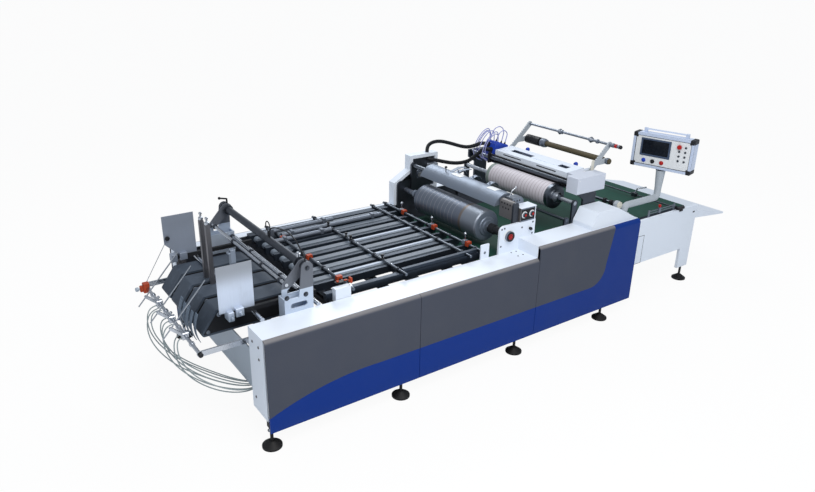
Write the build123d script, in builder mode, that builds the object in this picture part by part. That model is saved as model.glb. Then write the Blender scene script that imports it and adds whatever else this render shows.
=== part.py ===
from build123d import *
import os
from math import cos, pi, radians, sin, sqrt

os.makedirs("parts", exist_ok=True)

# Window patching machine in millimetres.
# +X runs with the cartons from the feeder to the delivery tray, +Y to the far side, +Z up.
# The origin is on the floor under the middle of the whole machine.

# Driving dimensions of the machine body
WIDTH = 1960.0
SEAM_1 = 1265.0
BODY_LENGTH = 3830.0
ROTARY_LENGTH = 1320.0
SEAM_2 = BODY_LENGTH - ROTARY_LENGTH
DELIVERY_LENGTH = 1210.0
TRAY_LENGTH = 560.0
FRONT_REACH = 480.0
INFEED = (FRONT_REACH - BODY_LENGTH - DELIVERY_LENGTH - TRAY_LENGTH) / 2
NEAR_CABINET = 276.0
FAR_CABINET = 130.0
COVER_TOP = 866.0
RAISED_STEP = 106.0
RAISED_TOP = COVER_TOP + RAISED_STEP
PANEL_BOTTOM = 143.0
PANEL_SHEET = 10.0
PANEL_EDGE_RADIUS = 36.0
PANEL_SEAM = 4.0
COVER_SHEET = 6.0
SIDE_PLATE = 25.0

# Line where the blue skirt meets the grey panel: height at the infeed end, along the
# middle and the place where it turns up to the top edge
SKIRT_START = 262.0
SKIRT_LEVEL = 412.0
SKIRT_RISE_LENGTH = 900.0
SKIRT_TURN_BACK = 620.0
SKIRT_TOP_BACK = 355.0
SKIRT_TURN = BODY_LENGTH - SKIRT_TURN_BACK
SKIRT_TOP = BODY_LENGTH - SKIRT_TOP_BACK
SKIRT_TURN_RADIUS = 190.0
SKIRT_SPILL = 10.0

# Base frame and feet
RAIL_WIDTH = 80.0
RAIL_HEIGHT = 60.0
RAIL_BOTTOM = 150.0
CROSS_TUBE_WIDTH = 70.0
RAIL_INSET = 14.0
FIRST_TUBE = 560.0
ROTARY_TUBE_BACK = 190.0
LAST_TUBE_INSET = 330.0
CROSS_TUBES = (
    FIRST_TUBE,
    SEAM_1,
    (SEAM_1 + SEAM_2) / 2,
    SEAM_2 + ROTARY_TUBE_BACK,
    BODY_LENGTH - LAST_TUBE_INSET,
)
FOOT_PAD_RADIUS = 72.0
FOOT_STEM_RADIUS = 12.0
FOOT_INSET = 28.0
FOOT_BEFORE_SEAM_1 = 138.0
FOOT_BEFORE_SEAM_2 = 170.0
FOOT_STATIONS = (
    FOOT_INSET,
    SEAM_1 - FOOT_BEFORE_SEAM_1,
    SEAM_2 - FOOT_BEFORE_SEAM_2,
    SKIRT_TOP,
)

# Clearance of a shaft in its bore and of a piece laid beside another
RUNNING_GAP = 0.3


def at(station):
    """Row X of a place measured from the infeed end of the side covers."""
    return INFEED + station


def rect(x0, x1, y0, y1):
    """A sketch rectangle between two corners."""
    with Locations(((x0 + x1) / 2, (y0 + y1) / 2)):
        Rectangle(x1 - x0, y1 - y0)


def block(x0, x1, y0, y1, z0, z1, mode=Mode.ADD):
    """A squared bar, plate or window between two corners."""
    with BuildSketch(Plane.XY.offset(z0)) as section:
        rect(x0, x1, y0, y1)
    extrude(section.sketch, amount=z1 - z0, mode=mode)


def rod_y(x, z, radius, y0, y1, mode=Mode.ADD):
    """A round bar or bore along Y."""
    with BuildSketch(Plane.XZ.offset(-y1)) as section:
        with Locations((x, z)):
            Circle(radius)
    extrude(section.sketch, amount=y1 - y0, mode=mode)


def rod_x(y, z, radius, x0, x1):
    """A round bar along X."""
    with BuildSketch(Plane.YZ.offset(x0)) as section:
        with Locations((y, z)):
            Circle(radius)
    extrude(section.sketch, amount=x1 - x0)


def rod_z(x, y, radius, z0, z1):
    """A round bar along Z."""
    with BuildSketch(Plane.XY.offset(z0)) as section:
        with Locations((x, y)):
            Circle(radius)
    extrude(section.sketch, amount=z1 - z0)


def side_profile(points, y0, y1, mode=Mode.ADD):
    """A plate cut to an outline in X and Z, between two Y faces."""
    with BuildSketch(Plane.XZ.offset(-y1)) as section:
        with BuildLine():
            Polyline(*points, close=True)
        make_face()
    extrude(section.sketch, amount=y1 - y0, mode=mode)


def side_slot(x, z, length, height, y0, y1, mode=Mode.ADD):
    """A long round-ended plate or window, between two Y faces."""
    with BuildSketch(Plane.XZ.offset(-y1)) as section:
        with Locations((x, z)):
            SlotOverall(length, height)
    extrude(section.sketch, amount=y1 - y0, mode=mode)


def finish(builder, name):
    """Label a piece and write its file."""
    builder.part.label = name
    export_step(builder.part, f"parts/{name}.step")


# Faces of the two cabinets
NEAR_OUT = -WIDTH / 2
FAR_OUT = WIDTH / 2
NEAR_IN = NEAR_OUT + NEAR_CABINET
FAR_IN = FAR_OUT - FAR_CABINET
MIDDLE = (NEAR_IN + FAR_IN) / 2
RAIL_TOP = RAIL_BOTTOM + RAIL_HEIGHT
BODY_START = at(0.0)
BODY_END = at(BODY_LENGTH)
PANEL_STANDOFF = 4.0
NEAR_RAIL = NEAR_OUT + PANEL_SHEET + PANEL_STANDOFF
FAR_RAIL = FAR_OUT - PANEL_SHEET - PANEL_STANDOFF

# Delivery unit: narrower than the body, on its own two sheet sides
DELIVERY_NEAR_INSET = 180.0
DELIVERY_FAR_INSET = 380.0
DELIVERY_NEAR = NEAR_OUT + DELIVERY_NEAR_INSET
DELIVERY_FAR = FAR_OUT - DELIVERY_FAR_INSET
DELIVERY_SHEET = 30.0
DELIVERY_END = BODY_LENGTH + DELIVERY_LENGTH
DELIVERY_LEG = 175.0

# Levelling feet: a rubber bell pad on a threaded stem, four a side and two at the delivery
FOOT_Y = (NEAR_RAIL + RAIL_WIDTH / 2, FAR_RAIL - RAIL_WIDTH / 2)
PAD_RIM = 14.0
PAD_HEIGHT = 50.0
PAD_NECK_RADIUS = 22.0
DELIVERY_LEG_BOTTOM = 144.0


def foot(x, y, stem_top):
    with BuildSketch(Plane(origin=(x, y, 0), x_dir=(1, 0, 0), z_dir=(0, -1, 0))) as section:
        with BuildLine():
            Polyline(
                (0, stem_top),
                (0, 0),
                (FOOT_PAD_RADIUS, 0),
                (FOOT_PAD_RADIUS, PAD_RIM),
                (PAD_NECK_RADIUS, PAD_HEIGHT),
                (FOOT_STEM_RADIUS, PAD_HEIGHT),
                (FOOT_STEM_RADIUS, stem_top),
                close=True,
            )
        make_face()
    revolve(section.sketch, axis=Axis((x, y, 0), (0, 0, 1)))


with BuildPart() as levelling_feet:
    for station in FOOT_STATIONS:
        for y in FOOT_Y:
            foot(at(station), y, RAIL_BOTTOM)
    for y in (DELIVERY_NEAR + DELIVERY_SHEET / 2, DELIVERY_FAR - DELIVERY_SHEET / 2):
        foot(at(DELIVERY_END - DELIVERY_LEG / 2), y, DELIVERY_LEG_BOTTOM)
finish(levelling_feet, "levelling_feet")

# Base frame: a long rail under each cabinet and cross tubes that carry the side plates
with BuildPart() as base_frame:
    for y0 in (NEAR_RAIL, FAR_RAIL - RAIL_WIDTH):
        block(
            BODY_START + RAIL_INSET,
            BODY_END - RAIL_INSET,
            y0,
            y0 + RAIL_WIDTH,
            RAIL_BOTTOM,
            RAIL_TOP,
        )
    for station in CROSS_TUBES:
        middle_x = at(station)
        block(
            middle_x - CROSS_TUBE_WIDTH / 2,
            middle_x + CROSS_TUBE_WIDTH / 2,
            NEAR_RAIL + RAIL_WIDTH + RUNNING_GAP,
            FAR_RAIL - RAIL_WIDTH - RUNNING_GAP,
            RAIL_BOTTOM,
            RAIL_TOP,
        )
finish(base_frame, "base_frame")

END_PLATE_LIFT = 12.0
END_PLATE_BOTTOM = RAIL_TOP + END_PLATE_LIFT

# Side plates: thick steel walls that carry everything between the cabinets
STEP_X = at(SEAM_2)
WALL_LOW = COVER_TOP - COVER_SHEET
WALL_HIGH = RAISED_TOP - COVER_SHEET
WALL_START = BODY_START + COVER_SHEET + PANEL_SHEET
WALL_END = BODY_END - COVER_SHEET - PANEL_SHEET
WALL_OUTLINE = (
    (WALL_START, RAIL_TOP),
    (WALL_END, RAIL_TOP),
    (WALL_END, WALL_HIGH),
    (STEP_X + COVER_SHEET, WALL_HIGH),
    (STEP_X + COVER_SHEET, WALL_LOW),
    (WALL_START, WALL_LOW),
)

with BuildPart() as side_frames:
    side_profile(WALL_OUTLINE, NEAR_IN - SIDE_PLATE, NEAR_IN)
    side_profile(WALL_OUTLINE, FAR_IN, FAR_IN + SIDE_PLATE)
finish(side_frames, "side_frames")


# White covers: folded sheet along the top of each cabinet, raised over the rotary unit,
# with a tall end plate at the infeed and a plain one at the delivery
def white_cover(y0, y1):
    block(BODY_START, STEP_X, y0, y1, COVER_TOP - COVER_SHEET, COVER_TOP)
    side_profile(
        (
            (STEP_X, COVER_TOP - COVER_SHEET),
            (STEP_X + COVER_SHEET, COVER_TOP - COVER_SHEET),
            (STEP_X + COVER_SHEET, RAISED_TOP - COVER_SHEET),
            (BODY_END, RAISED_TOP - COVER_SHEET),
            (BODY_END, RAISED_TOP),
            (STEP_X, RAISED_TOP),
        ),
        y0,
        y1,
    )
    block(BODY_START, BODY_START + PANEL_SHEET, y0, y1, END_PLATE_BOTTOM, WALL_LOW)
    block(BODY_END - PANEL_SHEET, BODY_END, y0, y1, END_PLATE_BOTTOM, WALL_HIGH)


NEAR_COVER_EDGE = NEAR_OUT + PANEL_EDGE_RADIUS
FAR_COVER_EDGE = FAR_OUT - PANEL_EDGE_RADIUS

with BuildPart() as near_white_cover:
    white_cover(NEAR_COVER_EDGE, NEAR_IN)
finish(near_white_cover, "near_white_cover")

with BuildPart() as far_white_cover:
    white_cover(FAR_IN, FAR_COVER_EDGE)
finish(far_white_cover, "far_white_cover")


# Painted side panels: three a side, rolled over the top edge, grey above and blue below
def panel_sheet(x0, x1, top, out_y, side):
    """One panel. side is 1 where the outer face looks to -Y and -1 where it looks to +Y."""
    inner = out_y + side * PANEL_SHEET
    rolled = out_y + side * PANEL_EDGE_RADIUS
    inner_radius = PANEL_EDGE_RADIUS - PANEL_SHEET
    with BuildSketch(Plane.YZ.offset(x0)) as section:
        with BuildLine():
            Line((out_y, PANEL_BOTTOM), (out_y, top - PANEL_EDGE_RADIUS))
            ThreePointArc(
                (out_y, top - PANEL_EDGE_RADIUS),
                (
                    rolled - side * PANEL_EDGE_RADIUS * cos(radians(45)),
                    top - PANEL_EDGE_RADIUS + PANEL_EDGE_RADIUS * sin(radians(45)),
                ),
                (rolled, top),
            )
            Line((rolled, top), (rolled, top - PANEL_SHEET))
            ThreePointArc(
                (rolled, top - PANEL_SHEET),
                (
                    rolled - side * inner_radius * cos(radians(45)),
                    top - PANEL_EDGE_RADIUS + inner_radius * sin(radians(45)),
                ),
                (inner, top - PANEL_EDGE_RADIUS),
            )
            Line((inner, top - PANEL_EDGE_RADIUS), (inner, PANEL_BOTTOM))
            Line((inner, PANEL_BOTTOM), (out_y, PANEL_BOTTOM))
        make_face()
    extrude(section.sketch, amount=x1 - x0)


def three_panels(out_y, side):
    half_seam = PANEL_SEAM / 2
    panel_sheet(BODY_START, at(SEAM_1) - half_seam, COVER_TOP, out_y, side)
    panel_sheet(at(SEAM_1) + half_seam, STEP_X - half_seam, COVER_TOP, out_y, side)
    panel_sheet(STEP_X + half_seam, BODY_END, RAISED_TOP, out_y, side)


def blue_region(y0, y1, mode):
    """The blue part of a side: a low sweep that turns up to cover the delivery end."""
    low = PANEL_BOTTOM - SKIRT_SPILL
    high = RAISED_TOP + SKIRT_SPILL
    start_x = BODY_START - SKIRT_SPILL
    end_x = BODY_END + SKIRT_SPILL
    rise_x = at(SKIRT_RISE_LENGTH)
    with BuildSketch(Plane.XZ.offset(-y1)) as section:
        with BuildLine():
            Line((start_x, low), (start_x, SKIRT_START))
            ThreePointArc(
                (start_x, SKIRT_START),
                (
                    start_x + 0.40 * (rise_x - start_x),
                    SKIRT_START + 0.72 * (SKIRT_LEVEL - SKIRT_START),
                ),
                (rise_x, SKIRT_LEVEL),
            )
            Line((rise_x, SKIRT_LEVEL), (at(SKIRT_TURN), SKIRT_LEVEL))
            ThreePointArc(
                (at(SKIRT_TURN), SKIRT_LEVEL),
                (
                    at(SKIRT_TURN) + SKIRT_TURN_RADIUS * sin(radians(45)),
                    SKIRT_LEVEL + SKIRT_TURN_RADIUS * (1 - cos(radians(45))),
                ),
                (at(SKIRT_TURN) + SKIRT_TURN_RADIUS, SKIRT_LEVEL + SKIRT_TURN_RADIUS),
            )
            Line(
                (at(SKIRT_TURN) + SKIRT_TURN_RADIUS, SKIRT_LEVEL + SKIRT_TURN_RADIUS),
                (at(SKIRT_TOP), high),
            )
            Polyline((at(SKIRT_TOP), high), (end_x, high), (end_x, low), (start_x, low))
        make_face()
    extrude(section.sketch, amount=y1 - y0, mode=mode)


with BuildPart() as near_grey_panels:
    three_panels(NEAR_OUT, 1)
    blue_region(NEAR_OUT - 1, NEAR_OUT + PANEL_EDGE_RADIUS + 1, Mode.SUBTRACT)
finish(near_grey_panels, "near_grey_panels")

with BuildPart() as near_blue_panels:
    three_panels(NEAR_OUT, 1)
    blue_region(NEAR_OUT - 1, NEAR_OUT + PANEL_EDGE_RADIUS + 1, Mode.INTERSECT)
finish(near_blue_panels, "near_blue_panels")

with BuildPart() as far_grey_panels:
    three_panels(FAR_OUT, -1)
    blue_region(FAR_OUT - PANEL_EDGE_RADIUS - 1, FAR_OUT + 1, Mode.SUBTRACT)
finish(far_grey_panels, "far_grey_panels")

with BuildPart() as far_blue_panels:
    three_panels(FAR_OUT, -1)
    blue_region(FAR_OUT - PANEL_EDGE_RADIUS - 1, FAR_OUT + 1, Mode.INTERSECT)
finish(far_blue_panels, "far_blue_panels")

# White gear housing on the raised cover, a block with sloped ends
GEAR_RISE = 158.0
GEAR_LENGTH = 635.0
GEAR_INSET = 10.0
GEAR_FRONT_SLOPE = 70.0
GEAR_BACK_SLOPE = 305.0
GEAR_SHOULDER = 40.0
GEAR_SIDE_INSET = 6.0
GEAR_EDGE = 5.0
GEAR_TOP = RAISED_TOP + GEAR_RISE
GEAR_END = BODY_LENGTH - GEAR_INSET
GEAR_START = GEAR_END - GEAR_LENGTH
with BuildPart() as gear_housing:
    side_profile(
        (
            (at(GEAR_START), RAISED_TOP),
            (at(GEAR_END), RAISED_TOP),
            (at(GEAR_END - GEAR_BACK_SLOPE), GEAR_TOP),
            (at(GEAR_START + GEAR_FRONT_SLOPE), GEAR_TOP),
            (at(GEAR_START), RAISED_TOP + GEAR_SHOULDER),
        ),
        NEAR_COVER_EDGE + GEAR_SIDE_INSET,
        NEAR_IN - GEAR_SIDE_INSET,
    )
    fillet(gear_housing.faces().sort_by(Axis.Z)[-1].edges(), GEAR_EDGE)
finish(gear_housing, "gear_housing")

# Tall stepped white cover on the far side, over the drive of the plate cylinder: a folded
# shell with a return flange round its open inner side
TALL_LEAD = 254.0
TALL_STEP_LEAD = 60.0
TALL_TAIL = 290.0
TALL_SHOULDER_RISE = 231.0
TALL_SLOPE_RISE = 109.0
TALL_RISE = 486.0
TALL_FLANGE = 34.0
TALL_RECESS = 25.0
TALL_START = SEAM_2 - TALL_LEAD
TALL_STEP = SEAM_2 - TALL_STEP_LEAD
TALL_END = SEAM_2 + TALL_TAIL
TALL_SHOULDER = COVER_TOP + TALL_SHOULDER_RISE
TALL_TOP = COVER_TOP + TALL_RISE
TALL_FOOT = RAISED_TOP + TALL_FLANGE
TALL_INSIDE = (
    (at(TALL_START + TALL_FLANGE), TALL_FOOT),
    (at(TALL_END - TALL_FLANGE), TALL_FOOT),
    (at(TALL_END - TALL_FLANGE), TALL_TOP - TALL_FLANGE),
    (at(TALL_STEP + TALL_FLANGE), TALL_TOP - TALL_FLANGE),
    (at(TALL_STEP + TALL_FLANGE), TALL_SHOULDER + TALL_SLOPE_RISE - TALL_FLANGE / 2),
    (at(TALL_START + TALL_FLANGE), TALL_SHOULDER - TALL_FLANGE / 2),
)
with BuildPart() as far_tall_cover:
    side_profile(
        (
            (at(TALL_START), COVER_TOP),
            (STEP_X, COVER_TOP),
            (STEP_X, RAISED_TOP),
            (at(TALL_END), RAISED_TOP),
            (at(TALL_END), TALL_TOP),
            (at(TALL_STEP), TALL_TOP),
            (at(TALL_STEP), TALL_SHOULDER + TALL_SLOPE_RISE),
            (at(TALL_START), TALL_SHOULDER),
        ),
        FAR_IN,
        FAR_COVER_EDGE,
    )
    side_profile(TALL_INSIDE, FAR_IN, FAR_IN + TALL_RECESS, Mode.SUBTRACT)
finish(far_tall_cover, "far_tall_cover")

# Feeder belts: four short belt units side by side, with a small nose at the top and a
# second nose low in front of it
FEEDER_NOSE = -231.0
FEEDER_LIP = 136.0
FEEDER_TAIL = 520.0
FEEDER_NOSE_ROUND = 22.0
FEEDER_TAIL_ROUND = 80.0
FEEDER_DROP = 6.0
FEEDER_TOP = COVER_TOP - FEEDER_DROP
FEEDER_DEPTH = 190.0
FEEDER_BELT_GAP = 55.0
FEEDER_UNITS = 4
FEEDER_NEAR_INSET = 345.0
FEEDER_FAR_INSET = 285.0
FEEDER_NEAR = NEAR_IN + FEEDER_NEAR_INSET
FEEDER_FAR = FAR_IN - FEEDER_FAR_INSET
FEEDER_BELT_PITCH = (FEEDER_FAR - FEEDER_NEAR + FEEDER_BELT_GAP) / FEEDER_UNITS
FEEDER_UNDER = FEEDER_TOP - FEEDER_DEPTH
with BuildPart() as feeder_belts:
    for unit in range(FEEDER_UNITS):
        unit_y = FEEDER_NEAR + unit * FEEDER_BELT_PITCH
        unit_width = FEEDER_BELT_PITCH - FEEDER_BELT_GAP
        with BuildSketch(Plane.XZ.offset(-(unit_y + unit_width))) as belt_section:
            with BuildLine():
                Polyline(
                    (at(FEEDER_NOSE), FEEDER_UNDER),
                    (at(FEEDER_NOSE + FEEDER_LIP), FEEDER_TOP),
                    (at(FEEDER_TAIL), FEEDER_TOP),
                    (at(FEEDER_TAIL), FEEDER_UNDER),
                    close=True,
                )
            make_face()
            fillet(belt_section.vertices().sort_by(Axis.X)[:2], FEEDER_NOSE_ROUND)
            fillet(belt_section.vertices().sort_by(Axis.X)[-2:], FEEDER_TAIL_ROUND)
        extrude(belt_section.sketch, amount=unit_width)
finish(feeder_belts, "feeder_belts")

# Sheet that closes the infeed end under the feeder
INFEED_SHEET_BOTTOM = 346.0
INFEED_SHEET_T = 10.0
INFEED_SHEET_DROP = 5.0
with BuildPart() as infeed_sheet:
    block(
        WALL_START,
        WALL_START + INFEED_SHEET_T,
        NEAR_IN,
        FAR_IN,
        INFEED_SHEET_BOTTOM,
        FEEDER_UNDER - INFEED_SHEET_DROP,
    )
finish(infeed_sheet, "infeed_sheet")

# Cross beams between the walls: one under the feeder and three under the feed table
TABLE_RISE = 39.0
TABLE_TOP = COVER_TOP + TABLE_RISE
TABLE_RAIL_H = 60.0
TABLE_START = 640.0
TABLE_TAIL = 325.0
TABLE_END = SEAM_2 - TABLE_TAIL
BEAM_SIZE = 60.0
FEEDER_BEAM = 260.0
FIRST_BEAM_INSET = 80.0
LAST_BEAM_INSET = 185.0
TABLE_BEAMS = (
    TABLE_START + FIRST_BEAM_INSET,
    (TABLE_START + TABLE_END) / 2,
    TABLE_END - LAST_BEAM_INSET,
)
with BuildPart() as cross_beams:
    block(
        at(FEEDER_BEAM),
        at(FEEDER_BEAM) + BEAM_SIZE,
        NEAR_IN,
        FAR_IN,
        FEEDER_UNDER - BEAM_SIZE,
        FEEDER_UNDER,
    )
    for station in TABLE_BEAMS:
        block(
            at(station),
            at(station) + BEAM_SIZE,
            NEAR_IN,
            FAR_IN,
            TABLE_TOP - TABLE_RAIL_H - BEAM_SIZE,
            TABLE_TOP - TABLE_RAIL_H,
        )
finish(cross_beams, "cross_beams")

# Brackets of the main bar, one on each wall: an open foot box with a slot in its outer
# side, an upright plate with a round head, and a strut that carries the upper rod
BAR_X = 465.0
BAR_RISE = 316.0
BAR_Z = COVER_TOP + BAR_RISE
BAR_RADIUS = 30.0
BRACKET_START = 281.0
BRACKET_END = 505.0
BRACKET_DROP = 66.0
BRACKET_BOTTOM = COVER_TOP - BRACKET_DROP
BRACKET_FOOT_RISE = 109.0
BRACKET_FOOT_TOP = COVER_TOP + BRACKET_FOOT_RISE
BRACKET_T = 10.0
BRACKET_DEPTH = 100.0
BRACKET_HEAD = 46.0
BRACKET_UPRIGHT = 110.0
BRACKET_SLOT = 130.0
BRACKET_SLOT_H = 40.0
BRACKET_SLOT_DROP = 58.0
STRUT_INSET = 60.0
STRUT_LEG = 42.0
STRUT_SHOULDER_DROP = 122.0
STRUT_HALF = 27.0
STRUT_WIDEN = 15.0
UPPER_ROD_X = 325.0
UPPER_ROD_DROP = 117.0
UPPER_ROD_Z = BAR_Z - UPPER_ROD_DROP
LOWER_ROD_X = 470.0
LOWER_ROD_DROP = 30.0
LOWER_ROD_Z = BRACKET_FOOT_TOP - LOWER_ROD_DROP
FEEDER_ROD_RADIUS = 13.0
FEEDER_ROD_END = 12.0


def bar_bracket(wall_y, side):
    """One bracket on a wall's inner face. side is 1 on the near wall and -1 on the far one."""
    outer = sorted((wall_y, wall_y + side * BRACKET_DEPTH))
    plate = sorted((wall_y, wall_y + side * BRACKET_T))
    strut = sorted((wall_y + side * STRUT_INSET, wall_y + side * (STRUT_INSET + BRACKET_T)))
    block(at(BRACKET_START), at(BRACKET_END), *outer, BRACKET_BOTTOM, BRACKET_FOOT_TOP)
    block(
        at(BRACKET_START) + BRACKET_T,
        at(BRACKET_END) - BRACKET_T,
        outer[0] + BRACKET_T,
        outer[1] - BRACKET_T,
        BRACKET_BOTTOM + BRACKET_T,
        BRACKET_FOOT_TOP,
        Mode.SUBTRACT,
    )
    side_slot(
        at((BRACKET_START + BRACKET_END) / 2),
        BRACKET_FOOT_TOP - BRACKET_SLOT_DROP,
        BRACKET_SLOT,
        BRACKET_SLOT_H,
        *plate,
        Mode.SUBTRACT,
    )
    side_profile(
        (
            (at(BRACKET_END) - BRACKET_UPRIGHT, BRACKET_FOOT_TOP),
            (at(BRACKET_END), BRACKET_FOOT_TOP),
            (at(BAR_X) + BRACKET_HEAD, BAR_Z),
            (at(BAR_X) - BRACKET_HEAD, BAR_Z),
        ),
        *plate,
    )
    rod_y(at(BAR_X), BAR_Z, BRACKET_HEAD, *plate)
    leg_x = at(BRACKET_START) + BRACKET_T
    side_profile(
        (
            (leg_x, BRACKET_BOTTOM + BRACKET_T),
            (leg_x + STRUT_LEG, BRACKET_BOTTOM + BRACKET_T),
            (leg_x + STRUT_LEG, BRACKET_FOOT_TOP + STRUT_LEG),
            (at(BAR_X) + STRUT_HALF, BAR_Z - STRUT_HALF - STRUT_WIDEN),
            (at(BAR_X) - STRUT_HALF, BAR_Z + STRUT_HALF + STRUT_WIDEN),
            (leg_x, BAR_Z - STRUT_SHOULDER_DROP),
        ),
        *strut,
    )
    rod_y(at(BAR_X), BAR_Z, BRACKET_HEAD, *strut)
    rod_y(at(BAR_X), BAR_Z, BAR_RADIUS + RUNNING_GAP, *strut, Mode.SUBTRACT)
    rod_y(at(UPPER_ROD_X), UPPER_ROD_Z, FEEDER_ROD_RADIUS + RUNNING_GAP, *strut, Mode.SUBTRACT)


with BuildPart() as bar_brackets:
    bar_bracket(NEAR_IN, 1)
    bar_bracket(FAR_IN, -1)
finish(bar_brackets, "bar_brackets")

with BuildPart() as main_bar:
    rod_y(at(BAR_X), BAR_Z, BAR_RADIUS, NEAR_IN + BRACKET_T, FAR_IN - BRACKET_T)
finish(main_bar, "main_bar")

# Feeder rods: a bright rod through the struts, one between the foot boxes, and two shafts
# on top of the belts
FEEDER_SHAFT_RADIUS = 16.0
FEEDER_SHAFTS = (110.0, 545.0)
with BuildPart() as feeder_rods:
    rod_y(
        at(UPPER_ROD_X),
        UPPER_ROD_Z,
        FEEDER_ROD_RADIUS,
        NEAR_IN + STRUT_INSET - FEEDER_ROD_END,
        FAR_IN - STRUT_INSET + FEEDER_ROD_END,
    )
    rod_y(
        at(LOWER_ROD_X),
        LOWER_ROD_Z,
        FEEDER_ROD_RADIUS,
        NEAR_IN + BRACKET_DEPTH,
        FAR_IN - BRACKET_DEPTH,
    )
    for station in FEEDER_SHAFTS:
        rod_y(at(station), FEEDER_TOP + FEEDER_SHAFT_RADIUS, FEEDER_SHAFT_RADIUS, NEAR_IN, FAR_IN)
finish(feeder_rods, "feeder_rods")

# Guide rails: black square rails beside the stack, laid on the two feeder shafts
GUIDE_NEAR_INSET = 152.0
GUIDE_FAR_INSET = 232.0
GUIDE_RAIL_SIZE = 30.0
GUIDE_RAIL_START = -60.0
GUIDE_RAIL_END = 600.0
GUIDE_RAIL_BOTTOM = FEEDER_TOP + 2 * FEEDER_SHAFT_RADIUS
GUIDE_RAIL_TOP = GUIDE_RAIL_BOTTOM + GUIDE_RAIL_SIZE
GUIDE_Y = (NEAR_IN + GUIDE_NEAR_INSET, FAR_IN - GUIDE_FAR_INSET)
with BuildPart() as guide_rails:
    for y in GUIDE_Y:
        block(
            at(GUIDE_RAIL_START),
            at(GUIDE_RAIL_END),
            y - GUIDE_RAIL_SIZE / 2,
            y + GUIDE_RAIL_SIZE / 2,
            GUIDE_RAIL_BOTTOM,
            GUIDE_RAIL_TOP,
        )
finish(guide_rails, "guide_rails")

# Side guides: upright aluminium plates on the guide rails, the far one with a cut corner
GUIDE_START = -135.0
GUIDE_END = 120.0
GUIDE_HEIGHT = 346.0
GUIDE_TOP = GUIDE_RAIL_TOP + GUIDE_HEIGHT
GUIDE_T = 6.0
GUIDE_CUT = 110.0
with BuildPart() as side_guides:
    block(
        at(GUIDE_START),
        at(GUIDE_END),
        GUIDE_Y[0] - GUIDE_T / 2,
        GUIDE_Y[0] + GUIDE_T / 2,
        GUIDE_RAIL_TOP,
        GUIDE_TOP,
    )
    side_profile(
        (
            (at(GUIDE_START + GUIDE_CUT), GUIDE_RAIL_TOP),
            (at(GUIDE_END), GUIDE_RAIL_TOP),
            (at(GUIDE_END), GUIDE_TOP),
            (at(GUIDE_START), GUIDE_TOP),
            (at(GUIDE_START), GUIDE_RAIL_TOP + GUIDE_CUT),
        ),
        GUIDE_Y[1] - GUIDE_T / 2,
        GUIDE_Y[1] + GUIDE_T / 2,
    )
finish(side_guides, "side_guides")

# Stop posts: two upright square posts that hold back the stack
POST_OFFSET = -13.0
POST_PITCH = 130.0
POST_START = 30.0
POST_SIZE = 34.0
POST_HEIGHT = 468.0
POST_TOP = FEEDER_TOP + POST_HEIGHT
with BuildPart() as stop_posts:
    for y in (MIDDLE + POST_OFFSET, MIDDLE + POST_OFFSET + POST_PITCH):
        block(at(POST_START), at(POST_START) + POST_SIZE, y, y + POST_SIZE, FEEDER_TOP, POST_TOP)
        rod_y(at(POST_START) + POST_SIZE / 2, POST_TOP, POST_SIZE / 2, y, y + POST_SIZE)
finish(stop_posts, "stop_posts")

# Front bar: a bright bar across the front of the feeder on two flat arms with lugs
FRONT_X = -318.0
FRONT_DROP = 150.0
FRONT_Z = FEEDER_TOP - FRONT_DROP
FRONT_RADIUS = 13.0
FRONT_NEAR_INSET = 84.0
FRONT_FAR_INSET = 210.0
FRONT_NEAR = NEAR_IN + FRONT_NEAR_INSET
FRONT_FAR = FAR_IN - FRONT_FAR_INSET
FRONT_ARM_H = 40.0
FRONT_ARM_T = 14.0
FRONT_LUG = 60.0
with BuildPart() as front_bar:
    rod_y(at(FRONT_X), FRONT_Z, FRONT_RADIUS, FRONT_NEAR, FRONT_FAR)
    arm_length = WALL_START + FRONT_LUG / 2 - at(FRONT_X)
    for y0 in (FRONT_NEAR - FRONT_ARM_T, FRONT_FAR):
        side_slot(
            at(FRONT_X) + arm_length / 2,
            FRONT_Z,
            arm_length + FRONT_ARM_H,
            FRONT_ARM_H,
            y0,
            y0 + FRONT_ARM_T,
        )
    for y0, y1 in ((NEAR_IN, FRONT_NEAR - FRONT_ARM_T), (FRONT_FAR + FRONT_ARM_T, FAR_IN)):
        block(
            WALL_START,
            WALL_START + FRONT_LUG,
            y0,
            y1,
            FRONT_Z - FRONT_ARM_H / 2,
            FRONT_Z + FRONT_ARM_H / 2,
        )
finish(front_bar, "front_bar")

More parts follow.
